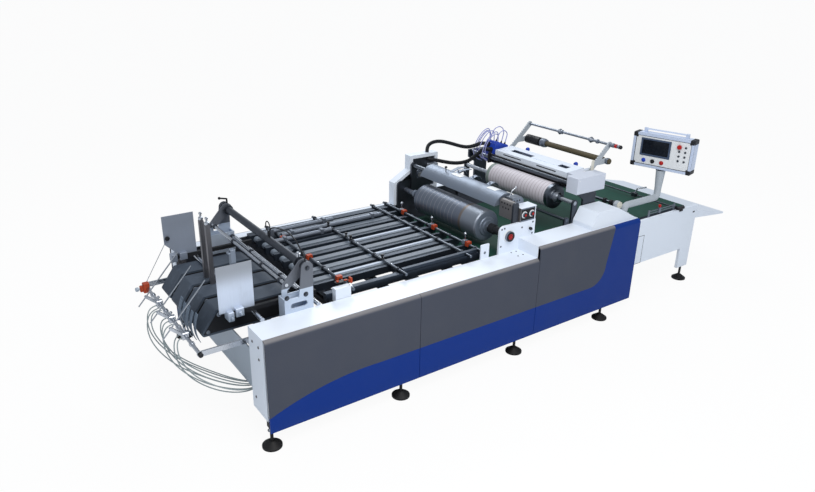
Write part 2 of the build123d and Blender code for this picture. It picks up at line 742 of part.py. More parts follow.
# Stack rods: thin sloping rods in front of the feeder, each in a link on the front bar
STACK_ROD_OFFSETS = (-423.0, -133.0, 167.0)
STACK_ROD_RADIUS = 5.0
STACK_ROD_LENGTH = 500.0
STACK_ROD_BELOW = 92.0
STACK_ROD_SLOPE = 48.0
STACK_CLAMP = 34.0
STACK_CLAMP_W = 30.0
STACK_LINK = 126.0
STACK_LINK_H = 22.0
STACK_LINK_W = 18.0
rod_run = (cos(radians(STACK_ROD_SLOPE)), sin(radians(STACK_ROD_SLOPE)))
link_end = (at(FRONT_X) - STACK_LINK * rod_run[1], FRONT_Z + STACK_LINK * rod_run[0])
rod_foot = (
    link_end[0] - STACK_ROD_BELOW * rod_run[0],
    link_end[1] - STACK_ROD_BELOW * rod_run[1],
)
with BuildPart() as stack_rods:
    for offset_y in STACK_ROD_OFFSETS:
        y = MIDDLE + offset_y
        with BuildSketch(Plane.XZ.offset(-(y + STACK_CLAMP_W))) as clamp:
            with Locations((at(FRONT_X), FRONT_Z)):
                Rectangle(STACK_CLAMP, STACK_CLAMP)
        extrude(clamp.sketch, amount=STACK_CLAMP_W)
        with BuildSketch(Plane.XZ.offset(-(y + (STACK_CLAMP_W + STACK_LINK_W) / 2))) as link:
            with Locations(((at(FRONT_X) + link_end[0]) / 2, (FRONT_Z + link_end[1]) / 2)):
                SlotCenterToCenter(STACK_LINK, STACK_LINK_H, rotation=90 + STACK_ROD_SLOPE)
        extrude(link.sketch, amount=STACK_LINK_W)
        rod_y(at(FRONT_X), FRONT_Z, FRONT_RADIUS + RUNNING_GAP, y, y + STACK_CLAMP_W, Mode.SUBTRACT)
        rod_plane = Plane(
            origin=(rod_foot[0], y + STACK_CLAMP_W / 2, rod_foot[1]),
            x_dir=(0, 1, 0),
            z_dir=(rod_run[0], 0, rod_run[1]),
        )
        with BuildSketch(rod_plane) as bore:
            Circle(STACK_ROD_RADIUS + RUNNING_GAP)
        extrude(bore.sketch, amount=STACK_ROD_LENGTH, mode=Mode.SUBTRACT)
        with BuildSketch(rod_plane) as rod:
            Circle(STACK_ROD_RADIUS)
        extrude(rod.sketch, amount=STACK_ROD_LENGTH)
finish(stack_rods, "stack_rods")

# Rods across the feed table, wall to wall
TABLE_ROD_RADIUS = 12.0
FIRST_ROD_INSET = 200.0
SECOND_ROD_INSET = 680.0
THIRD_ROD_INSET = 210.0
LAST_ROD_INSET = 59.0
TABLE_RODS = (
    TABLE_START + FIRST_ROD_INSET,
    TABLE_START + SECOND_ROD_INSET,
    TABLE_END - THIRD_ROD_INSET,
    TABLE_END - LAST_ROD_INSET,
)
TABLE_ROD_Z = TABLE_TOP + TABLE_ROD_RADIUS

# Table rails: long bars under the rods that carry the cartons, wide and narrow in turn,
# with a square tube laid on the near one and a last broad rail along the far wall
TABLE_RAIL_COUNT = 9
TABLE_RAIL_MARGIN = 80.0
WIDE_RAIL = 44.0
NARROW_RAIL = 26.0
FAR_RAIL_WIDTH = 80.0
TABLE_RAIL_PITCH = (FAR_IN - NEAR_IN - 2 * TABLE_RAIL_MARGIN) / (TABLE_RAIL_COUNT - 1)
SIDE_TUBE = 30.0
SIDE_TUBE_INSET = 92.0
with BuildPart() as table_rails:
    for rail in range(TABLE_RAIL_COUNT):
        rail_y = NEAR_IN + TABLE_RAIL_MARGIN + rail * TABLE_RAIL_PITCH
        width = NARROW_RAIL if rail % 2 else WIDE_RAIL
        if rail == TABLE_RAIL_COUNT - 1:
            width = FAR_RAIL_WIDTH
        block(
            at(TABLE_START),
            at(TABLE_END),
            rail_y - width / 2,
            rail_y + width / 2,
            TABLE_TOP - TABLE_RAIL_H,
            TABLE_TOP,
        )
    block(
        at(TABLE_RODS[1]) + TABLE_ROD_RADIUS + RUNNING_GAP,
        at(TABLE_END) - SIDE_TUBE_INSET,
        NEAR_IN + TABLE_RAIL_MARGIN - SIDE_TUBE / 2,
        NEAR_IN + TABLE_RAIL_MARGIN + SIDE_TUBE / 2,
        TABLE_TOP,
        TABLE_TOP + SIDE_TUBE,
    )
    rod_y(
        at(TABLE_RODS[2]),
        TABLE_ROD_Z,
        TABLE_ROD_RADIUS + RUNNING_GAP,
        NEAR_IN + TABLE_RAIL_MARGIN - SIDE_TUBE,
        NEAR_IN + TABLE_RAIL_MARGIN + SIDE_TUBE,
        Mode.SUBTRACT,
    )
finish(table_rails, "table_rails")

# Feed belts: narrow pale belts on their bars in the bays between the rails
FEED_BELT_INSET = 20.0
FEED_BELT_TAIL = 125.0
FEED_BELT_WIDTH = 60.0
FEED_BELT_DROP = 6.0
FEED_BELT_HEIGHT = TABLE_RAIL_H - FEED_BELT_DROP
FEED_BELT_START = TABLE_START + FEED_BELT_INSET
FEED_BELT_END = TABLE_END - FEED_BELT_TAIL
with BuildPart() as feed_belts:
    for bay in range(1, TABLE_RAIL_COUNT - 1):
        belt_y = NEAR_IN + TABLE_RAIL_MARGIN + (bay + 0.5) * TABLE_RAIL_PITCH
        side_slot(
            at((FEED_BELT_START + FEED_BELT_END) / 2),
            TABLE_TOP - TABLE_RAIL_H + FEED_BELT_HEIGHT / 2,
            FEED_BELT_END - FEED_BELT_START,
            FEED_BELT_HEIGHT,
            belt_y - FEED_BELT_WIDTH / 2,
            belt_y + FEED_BELT_WIDTH / 2,
        )
finish(feed_belts, "feed_belts")

# Orange clamps: six split blocks on the first and last rod
ORANGE_OFFSETS = (-575.0, -90.0, 395.0)
ORANGE_W = 34.0
ORANGE_L = 46.0
ORANGE_H = 40.0
with BuildPart() as orange_clamps:
    for station in (TABLE_RODS[0], TABLE_RODS[3]):
        for offset_y in ORANGE_OFFSETS:
            y = MIDDLE + offset_y
            with BuildSketch(Plane.XZ.offset(-(y + ORANGE_W))):
                rect(
                    at(station) - ORANGE_L / 2,
                    at(station) + ORANGE_L / 2,
                    TABLE_TOP + RUNNING_GAP,
                    TABLE_TOP + ORANGE_H,
                )
                with Locations((at(station), TABLE_ROD_Z)):
                    Circle(TABLE_ROD_RADIUS + RUNNING_GAP, mode=Mode.SUBTRACT)
            extrude(amount=ORANGE_W)
finish(orange_clamps, "orange_clamps")

# Ball clamps: three bright blocks with a ball knob on the last rod
BALL_CLAMP_OFFSETS = (-533.0, -53.0, 432.0)
BALL_CLAMP_W = 40.0
BALL_RADIUS = 14.0
BALL_RISE = 98.0
BALL_Z = TABLE_TOP + BALL_RISE
BALL_STEM_RADIUS = 6.0
with BuildPart() as ball_clamps:
    for offset_y in BALL_CLAMP_OFFSETS:
        y = MIDDLE + offset_y
        clamp_x = at(TABLE_RODS[3])
        with BuildSketch(Plane.XZ.offset(-(y + BALL_CLAMP_W))):
            rect(
                clamp_x - BALL_CLAMP_W / 2,
                clamp_x + BALL_CLAMP_W / 2,
                TABLE_TOP + RUNNING_GAP,
                TABLE_TOP + ORANGE_H,
            )
            with Locations((clamp_x, TABLE_ROD_Z)):
                Circle(TABLE_ROD_RADIUS + RUNNING_GAP, mode=Mode.SUBTRACT)
        extrude(amount=BALL_CLAMP_W)
        rod_z(clamp_x, y + BALL_CLAMP_W / 2, BALL_STEM_RADIUS, TABLE_TOP + ORANGE_H, BALL_Z)
        with Locations((clamp_x, y + BALL_CLAMP_W / 2, BALL_Z)):
            Sphere(BALL_RADIUS)
finish(ball_clamps, "ball_clamps")

# Lay block: a white block beside the table, on the first table beam, and the white end
# plate on the near wall that the last rod goes through
LAY_INSET = 50.0
LAY_LENGTH = 130.0
LAY_GAP = 4.0
LAY_WIDTH = 52.0
LAY_RISE = 45.0
ROD_PLATE_WIDTH = 92.0
ROD_PLATE_RISE = 88.0
ROD_PLATE_T = 10.0
ROD_PLATE_CORNER = 8.0
with BuildPart() as lay_block:
    block(
        at(TABLE_START + LAY_INSET),
        at(TABLE_START + LAY_INSET) + LAY_LENGTH,
        NEAR_IN + LAY_GAP,
        NEAR_IN + LAY_GAP + LAY_WIDTH,
        TABLE_TOP - TABLE_RAIL_H,
        TABLE_TOP + LAY_RISE,
    )
    with BuildSketch(Plane.XZ.offset(-(NEAR_IN + ROD_PLATE_T))) as rod_end_plate:
        rect(
            at(TABLE_RODS[3]) - ROD_PLATE_WIDTH / 2,
            at(TABLE_RODS[3]) + ROD_PLATE_WIDTH / 2,
            TABLE_TOP - TABLE_RAIL_H,
            TABLE_TOP + ROD_PLATE_RISE,
        )
        fillet(rod_end_plate.vertices().group_by(Axis.Y)[-1], ROD_PLATE_CORNER)
        with Locations((at(TABLE_RODS[3]), TABLE_ROD_Z)):
            Circle(TABLE_ROD_RADIUS + RUNNING_GAP, mode=Mode.SUBTRACT)
    extrude(rod_end_plate.sketch, amount=ROD_PLATE_T)
finish(lay_block, "lay_block")

# Plate cylinder: a steel drum with a shaft in plates on the walls
CYLINDER_LEAD = 122.0
CYLINDER_RISE = 148.0
CYLINDER_X = SEAM_2 - CYLINDER_LEAD
CYLINDER_Z = COVER_TOP + CYLINDER_RISE
CYLINDER_RADIUS = 144.0
CYLINDER_NEAR_INSET = 290.0
CYLINDER_FAR_INSET = 350.0
CYLINDER_NEAR = NEAR_IN + CYLINDER_NEAR_INSET
CYLINDER_FAR = FAR_IN - CYLINDER_FAR_INSET
CYLINDER_CHAMFER = 10.0
SHAFT_RADIUS = 25.0
SHAFT_END = 1.0
BEARING_T = 20.0
BEARING_NEAR = NEAR_IN + BEARING_T
BEARING_FAR = FAR_IN - BEARING_T
with BuildPart() as plate_cylinder:
    rod_y(at(CYLINDER_X), CYLINDER_Z, CYLINDER_RADIUS, CYLINDER_NEAR, CYLINDER_FAR)
    chamfer(plate_cylinder.edges().filter_by(GeomType.CIRCLE), CYLINDER_CHAMFER)
    rod_y(at(CYLINDER_X), CYLINDER_Z, SHAFT_RADIUS, NEAR_IN + SHAFT_END, FAR_IN - SHAFT_END)
finish(plate_cylinder, "plate_cylinder")

# Near bearing plate: white, with a bore for the cylinder's shaft
PLATE_LEAD = 105.0
PLATE_LENGTH = 415.0
PLATE_START = CYLINDER_X - PLATE_LEAD
PLATE_END = PLATE_START + PLATE_LENGTH
PLATE_DROP = 34.0
PLATE_RISE = 246.0
PLATE_BOTTOM = COVER_TOP - PLATE_DROP
PLATE_TOP = COVER_TOP + PLATE_RISE
PLATE_ROUND = 50.0


def cylinder_plate(y0, y1):
    """A wall plate with one round corner and the bore of the plate cylinder's shaft."""
    with BuildSketch(Plane.XZ.offset(-y1)) as section:
        rect(at(PLATE_START), at(PLATE_END), PLATE_BOTTOM, PLATE_TOP)
        fillet(section.vertices().group_by(Axis.Y)[-1].sort_by(Axis.X)[0], PLATE_ROUND)
        with Locations((at(CYLINDER_X), CYLINDER_Z)):
            Circle(SHAFT_RADIUS + RUNNING_GAP, mode=Mode.SUBTRACT)
    extrude(section.sketch, amount=y1 - y0)


with BuildPart() as near_bearing_plate:
    cylinder_plate(NEAR_IN, BEARING_NEAR)
finish(near_bearing_plate, "near_bearing_plate")

# Blanket roller: a wrapped roller between arched plates
BLANKET_BACK = 633.0
BLANKET_RISE = 294.0
BLANKET_X = BODY_LENGTH - BLANKET_BACK
BLANKET_Z = COVER_TOP + BLANKET_RISE
BLANKET_RADIUS = 118.0
BLANKET_NEAR_INSET = 249.0
BLANKET_FAR_INSET = 450.0
BLANKET_NEAR = NEAR_IN + BLANKET_NEAR_INSET
BLANKET_FAR = FAR_IN - BLANKET_FAR_INSET
BLANKET_HUB_RADIUS = 48.0
BLANKET_HUB_LENGTH = 45.0
BLANKET_SHAFT_RADIUS = 20.0
with BuildPart() as blanket_roller:
    rod_y(at(BLANKET_X), BLANKET_Z, BLANKET_RADIUS, BLANKET_NEAR, BLANKET_FAR)
    rod_y(
        at(BLANKET_X),
        BLANKET_Z,
        BLANKET_HUB_RADIUS,
        BLANKET_NEAR - BLANKET_HUB_LENGTH,
        BLANKET_FAR + BLANKET_HUB_LENGTH,
    )
    rod_y(
        at(BLANKET_X),
        BLANKET_Z,
        BLANKET_SHAFT_RADIUS,
        NEAR_IN + SHAFT_END,
        FAR_IN - SHAFT_END,
    )
finish(blanket_roller, "blanket_roller")

# Silver guide hood over the plate cylinder, on a rod between two ears
HOOD_FRONT_RISE = 208.0
HOOD_CREST_RUN = 75.0
HOOD_CREST_RISE = 291.0
HOOD_BACK_RUN = 205.0
HOOD_BACK_RISE = 286.0
HOOD_ROD_RUN = 85.0
HOOD_ROD_RISE = 246.0
HOOD_ROD_X = CYLINDER_X + HOOD_ROD_RUN
HOOD_ROD_Z = CYLINDER_Z + HOOD_ROD_RISE
HOOD_ROD_RADIUS = 20.0
HOOD_T = 8.0
HOOD_NEAR_INSET = 204.0
HOOD_FAR_INSET = 260.0
HOOD_NEAR = NEAR_IN + HOOD_NEAR_INSET
HOOD_FAR = FAR_IN - HOOD_FAR_INSET
HOOD_RIB = 12.0
HOOD_RIB_DROP = 34.0
EAR_HALF = 32.0
EAR_SEAT = 140.0

# Bearing plates: dark plates on the walls for the shafts, arched over each shaft, and the
# black inner plate of the tall cover
ARCH_HALF = 32.0
END_SHAFT_BACK = 48.0
END_SHAFT_RISE = 184.0
END_SHAFT_X = BODY_LENGTH - END_SHAFT_BACK
END_SHAFT_Z = COVER_TOP + END_SHAFT_RISE
END_SHAFT_RADIUS = 14.0
END_ARCH_HALF = 30.0
LOWER_SHAFT_LEAD = 87.0
LOWER_SHAFT_DROP = 150.0
LOWER_SHAFT_X = BLANKET_X - LOWER_SHAFT_LEAD
LOWER_SHAFT_Z = BLANKET_Z - LOWER_SHAFT_DROP
LOWER_SHAFT_RADIUS = 14.0
TALL_PLATE_T = 6.0
TALL_PLATE_Y = FAR_IN + TALL_RECESS - TALL_PLATE_T


def arch_plate(station, z, half, y0, y1, bore):
    """A plate on a wall with a round head and a bore for a shaft."""
    block(at(station) - half, at(station) + half, y0, y1, PLATE_BOTTOM, z)
    rod_y(at(station), z, half, y0, y1)
    rod_y(at(station), z, bore, y0, y1, Mode.SUBTRACT)


with BuildPart() as bearing_plates:
    cylinder_plate(BEARING_FAR, FAR_IN)
    for y0, y1 in ((NEAR_IN, BEARING_NEAR), (BEARING_FAR, FAR_IN)):
        bore = BLANKET_SHAFT_RADIUS + RUNNING_GAP
        arch_plate(BLANKET_X, BLANKET_Z, ARCH_HALF, y0, y1, bore)
        arch_plate(END_SHAFT_X, END_SHAFT_Z, END_ARCH_HALF, y0, y1, END_SHAFT_RADIUS)
        arch_plate(LOWER_SHAFT_X, LOWER_SHAFT_Z, END_ARCH_HALF, y0, y1, LOWER_SHAFT_RADIUS)
    for y0 in (BEARING_NEAR, BEARING_FAR - BEARING_T):
        block(
            at(HOOD_ROD_X) - EAR_HALF,
            at(HOOD_ROD_X) + EAR_HALF,
            y0,
            y0 + BEARING_T,
            PLATE_TOP - EAR_SEAT,
            HOOD_ROD_Z,
        )
        rod_y(at(HOOD_ROD_X), HOOD_ROD_Z, EAR_HALF, y0, y0 + BEARING_T)
    side_profile(TALL_INSIDE, TALL_PLATE_Y, TALL_PLATE_Y + TALL_PLATE_T)
finish(bearing_plates, "bearing_plates")



def hood_line():
    """The hood's curved section: front edge, crest and back edge."""
    return ThreePointArc(
        (at(CYLINDER_X), CYLINDER_Z + HOOD_FRONT_RISE),
        (at(CYLINDER_X + HOOD_CREST_RUN), CYLINDER_Z + HOOD_CREST_RISE),
        (at(CYLINDER_X + HOOD_BACK_RUN), CYLINDER_Z + HOOD_BACK_RISE),
    )


with BuildPart() as guide_hood:
    with BuildSketch(Plane.XZ.offset(-HOOD_FAR)) as sheet:
        with BuildLine():
            hood_arc = hood_line()
            offset(hood_arc, amount=HOOD_T, side=Side.RIGHT)
        make_face()
    extrude(sheet.sketch, amount=HOOD_FAR - HOOD_NEAR)
    for y1 in (HOOD_NEAR + HOOD_RIB, HOOD_FAR):
        with BuildSketch(Plane.XZ.offset(-y1)) as rib:
            with BuildLine():
                rib_arc = hood_line()
                Polyline(
                    rib_arc @ 1,
                    (at(HOOD_ROD_X) + EAR_HALF, HOOD_ROD_Z - HOOD_RIB_DROP),
                    (at(HOOD_ROD_X) - EAR_HALF, HOOD_ROD_Z - HOOD_RIB_DROP),
                    rib_arc @ 0,
                )
            make_face()
            with Locations((at(HOOD_ROD_X), HOOD_ROD_Z)):
                Circle(HOOD_ROD_RADIUS + RUNNING_GAP, mode=Mode.SUBTRACT)
        extrude(rib.sketch, amount=HOOD_RIB)
finish(guide_hood, "guide_hood")

# Cross rods: four over the feed table, bright shafts under and behind the rollers, a bar
# under the gantry and the rod of the hood
NIP_BACK = 59.0
NIP_RISE = 143.0
NIP_X = BLANKET_X + NIP_BACK
NIP_Z = BLANKET_Z + NIP_RISE
NIP_RADIUS = 20.0
HOUSING_GAP = 8.0
HOUSING_END = HOOD_NEAR - HOUSING_GAP
with BuildPart() as cross_rods:
    for station in TABLE_RODS:
        rod_y(at(station), TABLE_ROD_Z, TABLE_ROD_RADIUS, NEAR_IN, FAR_IN)
    rod_y(
        at(HOOD_ROD_X),
        HOOD_ROD_Z,
        HOOD_ROD_RADIUS,
        HOUSING_END,
        BEARING_FAR - BEARING_T,
    )
    rod_y(at(END_SHAFT_X), END_SHAFT_Z, END_SHAFT_RADIUS, NEAR_IN, FAR_IN)
    rod_y(at(LOWER_SHAFT_X), LOWER_SHAFT_Z, LOWER_SHAFT_RADIUS, NEAR_IN, FAR_IN)
    rod_y(at(NIP_X), NIP_Z, NIP_RADIUS, BEARING_NEAR, BEARING_FAR)
finish(cross_rods, "cross_rods")

# Adjusters: a dial on the cylinder's bearing, a box with two dials above the plate and the
# round-topped housing that holds the near end of the hood's rod
DIAL_RADIUS = 46.0
DIAL_DEPTH = 26.0
BOX_BACK = 124.0
BOX_LENGTH = 175.0
BOX_DEPTH = 100.0
BOX_HEIGHT = 125.0
BOX_START = CYLINDER_X + BOX_BACK
BOX_TOP = PLATE_TOP + BOX_HEIGHT
SMALL_DIAL_RADIUS = 22.0
SMALL_DIAL_DEPTH = 16.0
SMALL_DIALS = 2
HOUSING_LIFT = 22.0
with BuildPart() as adjusters:
    rod_y(at(CYLINDER_X), CYLINDER_Z, DIAL_RADIUS, NEAR_IN - DIAL_DEPTH, NEAR_IN)
    block(
        at(BOX_START),
        at(BOX_START) + BOX_LENGTH,
        NEAR_IN,
        NEAR_IN + BOX_DEPTH,
        PLATE_TOP,
        BOX_TOP,
    )
    for dial in range(SMALL_DIALS):
        rod_y(
            at(BOX_START) + BOX_LENGTH * (dial + 0.5) / SMALL_DIALS,
            (PLATE_TOP + BOX_TOP) / 2,
            SMALL_DIAL_RADIUS,
            NEAR_IN - SMALL_DIAL_DEPTH,
            NEAR_IN,
        )
    block(
        at(HOOD_ROD_X) - EAR_HALF,
        at(HOOD_ROD_X) + EAR_HALF,
        BEARING_NEAR + BEARING_T,
        HOUSING_END,
        PLATE_TOP + HOUSING_LIFT,
        HOOD_ROD_Z,
    )
    rod_y(at(HOOD_ROD_X), HOOD_ROD_Z, EAR_HALF, BEARING_NEAR + BEARING_T, HOUSING_END)
finish(adjusters, "adjusters")

# Gantry frame: a plate on each wall with an ear for the bar, welded to the square beam
POST_BACK_INSET = 360.0
POST_LENGTH = 170.0
POST_BACK = BODY_LENGTH - POST_BACK_INSET
POST_FRONT = POST_BACK - POST_LENGTH
BEAM_INSET = 30.0
BEAM_LENGTH = 100.0
BEAM_RISE = 359.0
BEAM_HEIGHT = 100.0
BEAM_START = POST_FRONT + BEAM_INSET
BEAM_END = BEAM_START + BEAM_LENGTH
BEAM_BOTTOM = COVER_TOP + BEAM_RISE
BEAM_TOP = BEAM_BOTTOM + BEAM_HEIGHT
EAR_REACH = 88.0
EAR_LIFT = 20.0
EAR_ROOT_DROP = 45.0
EAR_FRONT = POST_FRONT - EAR_REACH
EAR_BOTTOM = BEAM_BOTTOM + EAR_LIFT
EAR_ROOT = BEAM_BOTTOM - EAR_ROOT_DROP
with BuildPart() as gantry_frame:
    for y0 in (NEAR_IN, BEARING_FAR):
        side_profile(
            (
                (at(POST_FRONT), PLATE_BOTTOM),
                (at(POST_BACK), PLATE_BOTTOM),
                (at(POST_BACK), BEAM_BOTTOM),
                (at(BEAM_START), BEAM_TOP),
                (at(EAR_FRONT), BEAM_TOP),
                (at(EAR_FRONT), EAR_BOTTOM),
                (at(POST_FRONT), EAR_ROOT),
            ),
            y0,
            y0 + BEARING_T,
        )
    block(at(BEAM_START), at(BEAM_END), NEAR_IN, FAR_IN, BEAM_BOTTOM, BEAM_TOP)
finish(gantry_frame, "gantry_frame")

# Gantry cover: a folded white sheet over the beam, with a long window in its top that a
# raised strip closes in the middle, and two slots in its front
GANTRY_LEAD = 45.0
GANTRY_LENGTH = 230.0
GANTRY_START = BEAM_START - GANTRY_LEAD
GANTRY_END = GANTRY_START + GANTRY_LENGTH
GANTRY_HEIGHT = 60.0
GANTRY_TILT = 14.0
GANTRY_SHEET = 5.0
GANTRY_NEAR_INSET = 214.0
GANTRY_FAR_INSET = 350.0
GANTRY_NEAR = NEAR_IN + GANTRY_NEAR_INSET
GANTRY_FAR = FAR_IN - GANTRY_FAR_INSET
WINDOW_INSET = 85.0
WINDOW_WIDTH = 70.0
WINDOW_NEAR_MARGIN = 90.0
WINDOW_FAR_MARGIN = 128.0
WINDOW_DEPTH = 40.0
STRIP_INSET = 200.0
STRIP_LENGTH = 355.0
STRIP_OVERLAP = 4.0
STRIP_T = 6.0
FRONT_SLOT = 260.0
FRONT_SLOT_H = 13.0
FRONT_SLOT_INSET = 140.0
FRONT_SLOT_PITCH = 472.0
FRONT_SLOT_DROP = 24.0


def gantry_section(inset, bottom):
    """The cover's section, drawn in by a sheet's thickness for its inside."""
    return (
        (at(GANTRY_START) + inset, bottom),
        (at(GANTRY_END) - inset, bottom),
        (at(GANTRY_END) - inset, BEAM_TOP + GANTRY_HEIGHT + GANTRY_TILT - inset),
        (at(GANTRY_START) + inset, BEAM_TOP + GANTRY_HEIGHT - inset),
    )


with BuildPart() as gantry_cover:
    side_profile(gantry_section(0, BEAM_TOP), GANTRY_NEAR, GANTRY_FAR)
    side_profile(
        gantry_section(GANTRY_SHEET, BEAM_TOP - GANTRY_SHEET),
        GANTRY_NEAR + GANTRY_SHEET,
        GANTRY_FAR - GANTRY_SHEET,
        Mode.SUBTRACT,
    )
    block(
        at(GANTRY_START + WINDOW_INSET),
        at(GANTRY_START + WINDOW_INSET) + WINDOW_WIDTH,
        GANTRY_NEAR + WINDOW_NEAR_MARGIN,
        GANTRY_FAR - WINDOW_FAR_MARGIN,
        BEAM_TOP + WINDOW_DEPTH,
        BEAM_TOP + GANTRY_HEIGHT + GANTRY_TILT,
        Mode.SUBTRACT,
    )
    for slot in range(2):
        with BuildSketch(Plane.YZ.offset(at(GANTRY_START))) as front_slot:
            with Locations(
                (
                    GANTRY_NEAR + FRONT_SLOT_INSET + FRONT_SLOT / 2 + slot * FRONT_SLOT_PITCH,
                    BEAM_TOP + GANTRY_HEIGHT - FRONT_SLOT_DROP,
                )
            ):
                Rectangle(FRONT_SLOT, FRONT_SLOT_H)
        extrude(front_slot.sketch, amount=GANTRY_SHEET, mode=Mode.SUBTRACT)
    strip_slope = GANTRY_TILT / GANTRY_LENGTH
    strip_x0 = at(GANTRY_START + WINDOW_INSET) - STRIP_OVERLAP
    strip_x1 = at(GANTRY_START + WINDOW_INSET) + WINDOW_WIDTH + STRIP_OVERLAP
    strip_z0 = BEAM_TOP + GANTRY_HEIGHT + strip_slope * (strip_x0 - at(GANTRY_START))
    strip_z1 = BEAM_TOP + GANTRY_HEIGHT + strip_slope * (strip_x1 - at(GANTRY_START))
    side_profile(
        (
            (strip_x0, strip_z0),
            (strip_x1, strip_z1),
            (strip_x1, strip_z1 + STRIP_T),
            (strip_x0, strip_z0 + STRIP_T),
        ),
        GANTRY_NEAR + STRIP_INSET,
        GANTRY_NEAR + STRIP_INSET + STRIP_LENGTH,
    )
finish(gantry_cover, "gantry_cover")

# Gantry end box: a white cover over the near end of the beam with a slot for the arm
END_BOX_LEAD = 130.0
END_BOX_LENGTH = 375.0
END_BOX_START = BEAM_START - END_BOX_LEAD
END_BOX_LIFT = 15.0
END_BOX_RISE = 67.0
END_BOX_BOTTOM = BEAM_BOTTOM + END_BOX_LIFT
END_BOX_TOP = BEAM_TOP + END_BOX_RISE
END_BOX_GAP = 7.0
END_BOX_FAR = GANTRY_NEAR - END_BOX_GAP
END_BOX_STEP = 78.0
END_BOX_EDGE = 6.0
ARM_NEAR_INSET = 144.0
ARM_FAR_INSET = 345.0
ARM_NEAR = NEAR_IN + ARM_NEAR_INSET
ARM_FAR = FAR_IN - ARM_FAR_INSET
ARM_T = 12.0
ARM_SLOT_LEAD = 240.0
ARM_SLOT_SIDE = 8.0
ARM_SLOT_DEPTH = 20.0


def end_box_plan(inset):
    """The end box seen from above: a narrow front, and a step out to the cover's width."""
    with BuildSketch(Plane.XY.offset(END_BOX_BOTTOM)) as plan:
        with BuildLine():
            Polyline(
                (at(END_BOX_START) + inset, NEAR_IN - GANTRY_SHEET + inset),
                (at(END_BOX_START) + END_BOX_LENGTH - inset, NEAR_IN - GANTRY_SHEET + inset),
                (at(END_BOX_START) + END_BOX_LENGTH - inset, END_BOX_FAR),
                (at(GANTRY_START) + inset, END_BOX_FAR),
                (at(GANTRY_START) + inset, END_BOX_FAR - END_BOX_STEP - inset),
                (at(END_BOX_START) + inset, END_BOX_FAR - END_BOX_STEP - inset),
                close=True,
            )
        make_face()
    return plan.sketch


with BuildPart() as gantry_end_box:
    extrude(end_box_plan(0), amount=END_BOX_TOP - END_BOX_BOTTOM)
    fillet(gantry_end_box.edges().filter_by(Axis.Y).group_by(Axis.Z)[-1], END_BOX_EDGE)
    fillet(gantry_end_box.faces().sort_by(Axis.Y)[0].edges(), GANTRY_SHEET - 1)
    extrude(
        end_box_plan(GANTRY_SHEET),
        amount=END_BOX_TOP - GANTRY_SHEET - END_BOX_BOTTOM,
        mode=Mode.SUBTRACT,
    )
    rod_y(
        at(NIP_X),
        NIP_Z,
        NIP_RADIUS + RUNNING_GAP,
        BEARING_NEAR,
        END_BOX_FAR,
        Mode.SUBTRACT,
    )
    block(
        at(END_BOX_START + ARM_SLOT_LEAD),
        at(END_BOX_START) + END_BOX_LENGTH,
        ARM_NEAR - ARM_SLOT_SIDE,
        ARM_NEAR + ARM_T + ARM_SLOT_SIDE,
        END_BOX_TOP - ARM_SLOT_DEPTH,
        END_BOX_TOP,
        Mode.SUBTRACT,
    )
finish(gantry_end_box, "gantry_end_box")

# Blue motor box that leans back over the far end of the beam
MOTOR_TILT = 19.5
MOTOR_LEAD = 61.0
MOTOR_DROP = 75.0
MOTOR_LENGTH = 180.0
MOTOR_HEIGHT = 219.0
MOTOR_FAR_INSET = 150.0
MOTOR_WIDTH = 150.0
MOTOR_FAR = FAR_IN - MOTOR_FAR_INSET
MOTOR_NEAR = MOTOR_FAR - MOTOR_WIDTH
MOTOR_EDGE = 14.0


def on_motor(along, up):
    """A place in the motor's own leaning section, as X and Z."""
    lean = radians(MOTOR_TILT)
    return (
        at(BEAM_START - MOTOR_LEAD) + along * cos(lean) + up * sin(lean),
        BEAM_TOP - MOTOR_DROP - along * sin(lean) + up * cos(lean),
    )


with BuildPart() as blue_motor:
    with BuildSketch(Plane.XZ.offset(-MOTOR_FAR)) as motor_section:
        with BuildLine():
            Polyline(
                on_motor(0, 0),
                on_motor(0, MOTOR_HEIGHT),
                on_motor(MOTOR_LENGTH, MOTOR_HEIGHT),
                on_motor(MOTOR_LENGTH, 0),
                close=True,
            )
        make_face()
        fillet(motor_section.vertices().sort_by(Axis.Y)[-2:], MOTOR_EDGE)
    extrude(motor_section.sketch, amount=MOTOR_WIDTH)
    block(
        at(BEAM_START),
        at(BEAM_START) + 2 * MOTOR_LENGTH,
        MOTOR_NEAR,
        MOTOR_FAR,
        BEAM_TOP - MOTOR_HEIGHT,
        BEAM_TOP,
        Mode.SUBTRACT,
    )
finish(blue_motor, "blue_motor")

# Unwind arms: two flat arms that lean back from the beam, with a lug for the core and rack
# teeth along the upper edge
ARM_ROOT_BACK = 185.0
ARM_ROOT_RISE = 47.0
ARM_RUN = 250.0
ARM_CLIMB = 233.0
ARM_ROOT_X = BEAM_START + ARM_ROOT_BACK
ARM_FOOT_TOP = BEAM_TOP + ARM_ROOT_RISE
ARM_TOP_X = ARM_ROOT_X + ARM_RUN
ARM_TOP_Z = ARM_FOOT_TOP + ARM_CLIMB
ARM_HALF = 27.0
ARM_SADDLE_INSET = 10.0
ARM_SADDLE_RISE = 45.0
CORE_LEAD = 20.0
CORE_RISE = 125.0
CORE_X = ARM_TOP_X - CORE_LEAD
CORE_Z = BEAM_TOP + CORE_RISE
CORE_RADIUS = 28.0
CORE_SHAFT_RADIUS = 10.0
UNWIND_RADIUS = 12.0
LUG_HALF = 26.0
TOOTH_COUNT = 9
TOOTH_PITCH = 27.0
TOOTH_GAP = 12.0
TOOTH_DEPTH = 9.0
TOOTH_INSET = 40.0
arm_run = sqrt(ARM_RUN**2 + ARM_CLIMB**2)
along_x = ARM_RUN / arm_run
along_z = ARM_CLIMB / arm_run
side_x = ARM_HALF * along_z
side_z = ARM_HALF * along_x


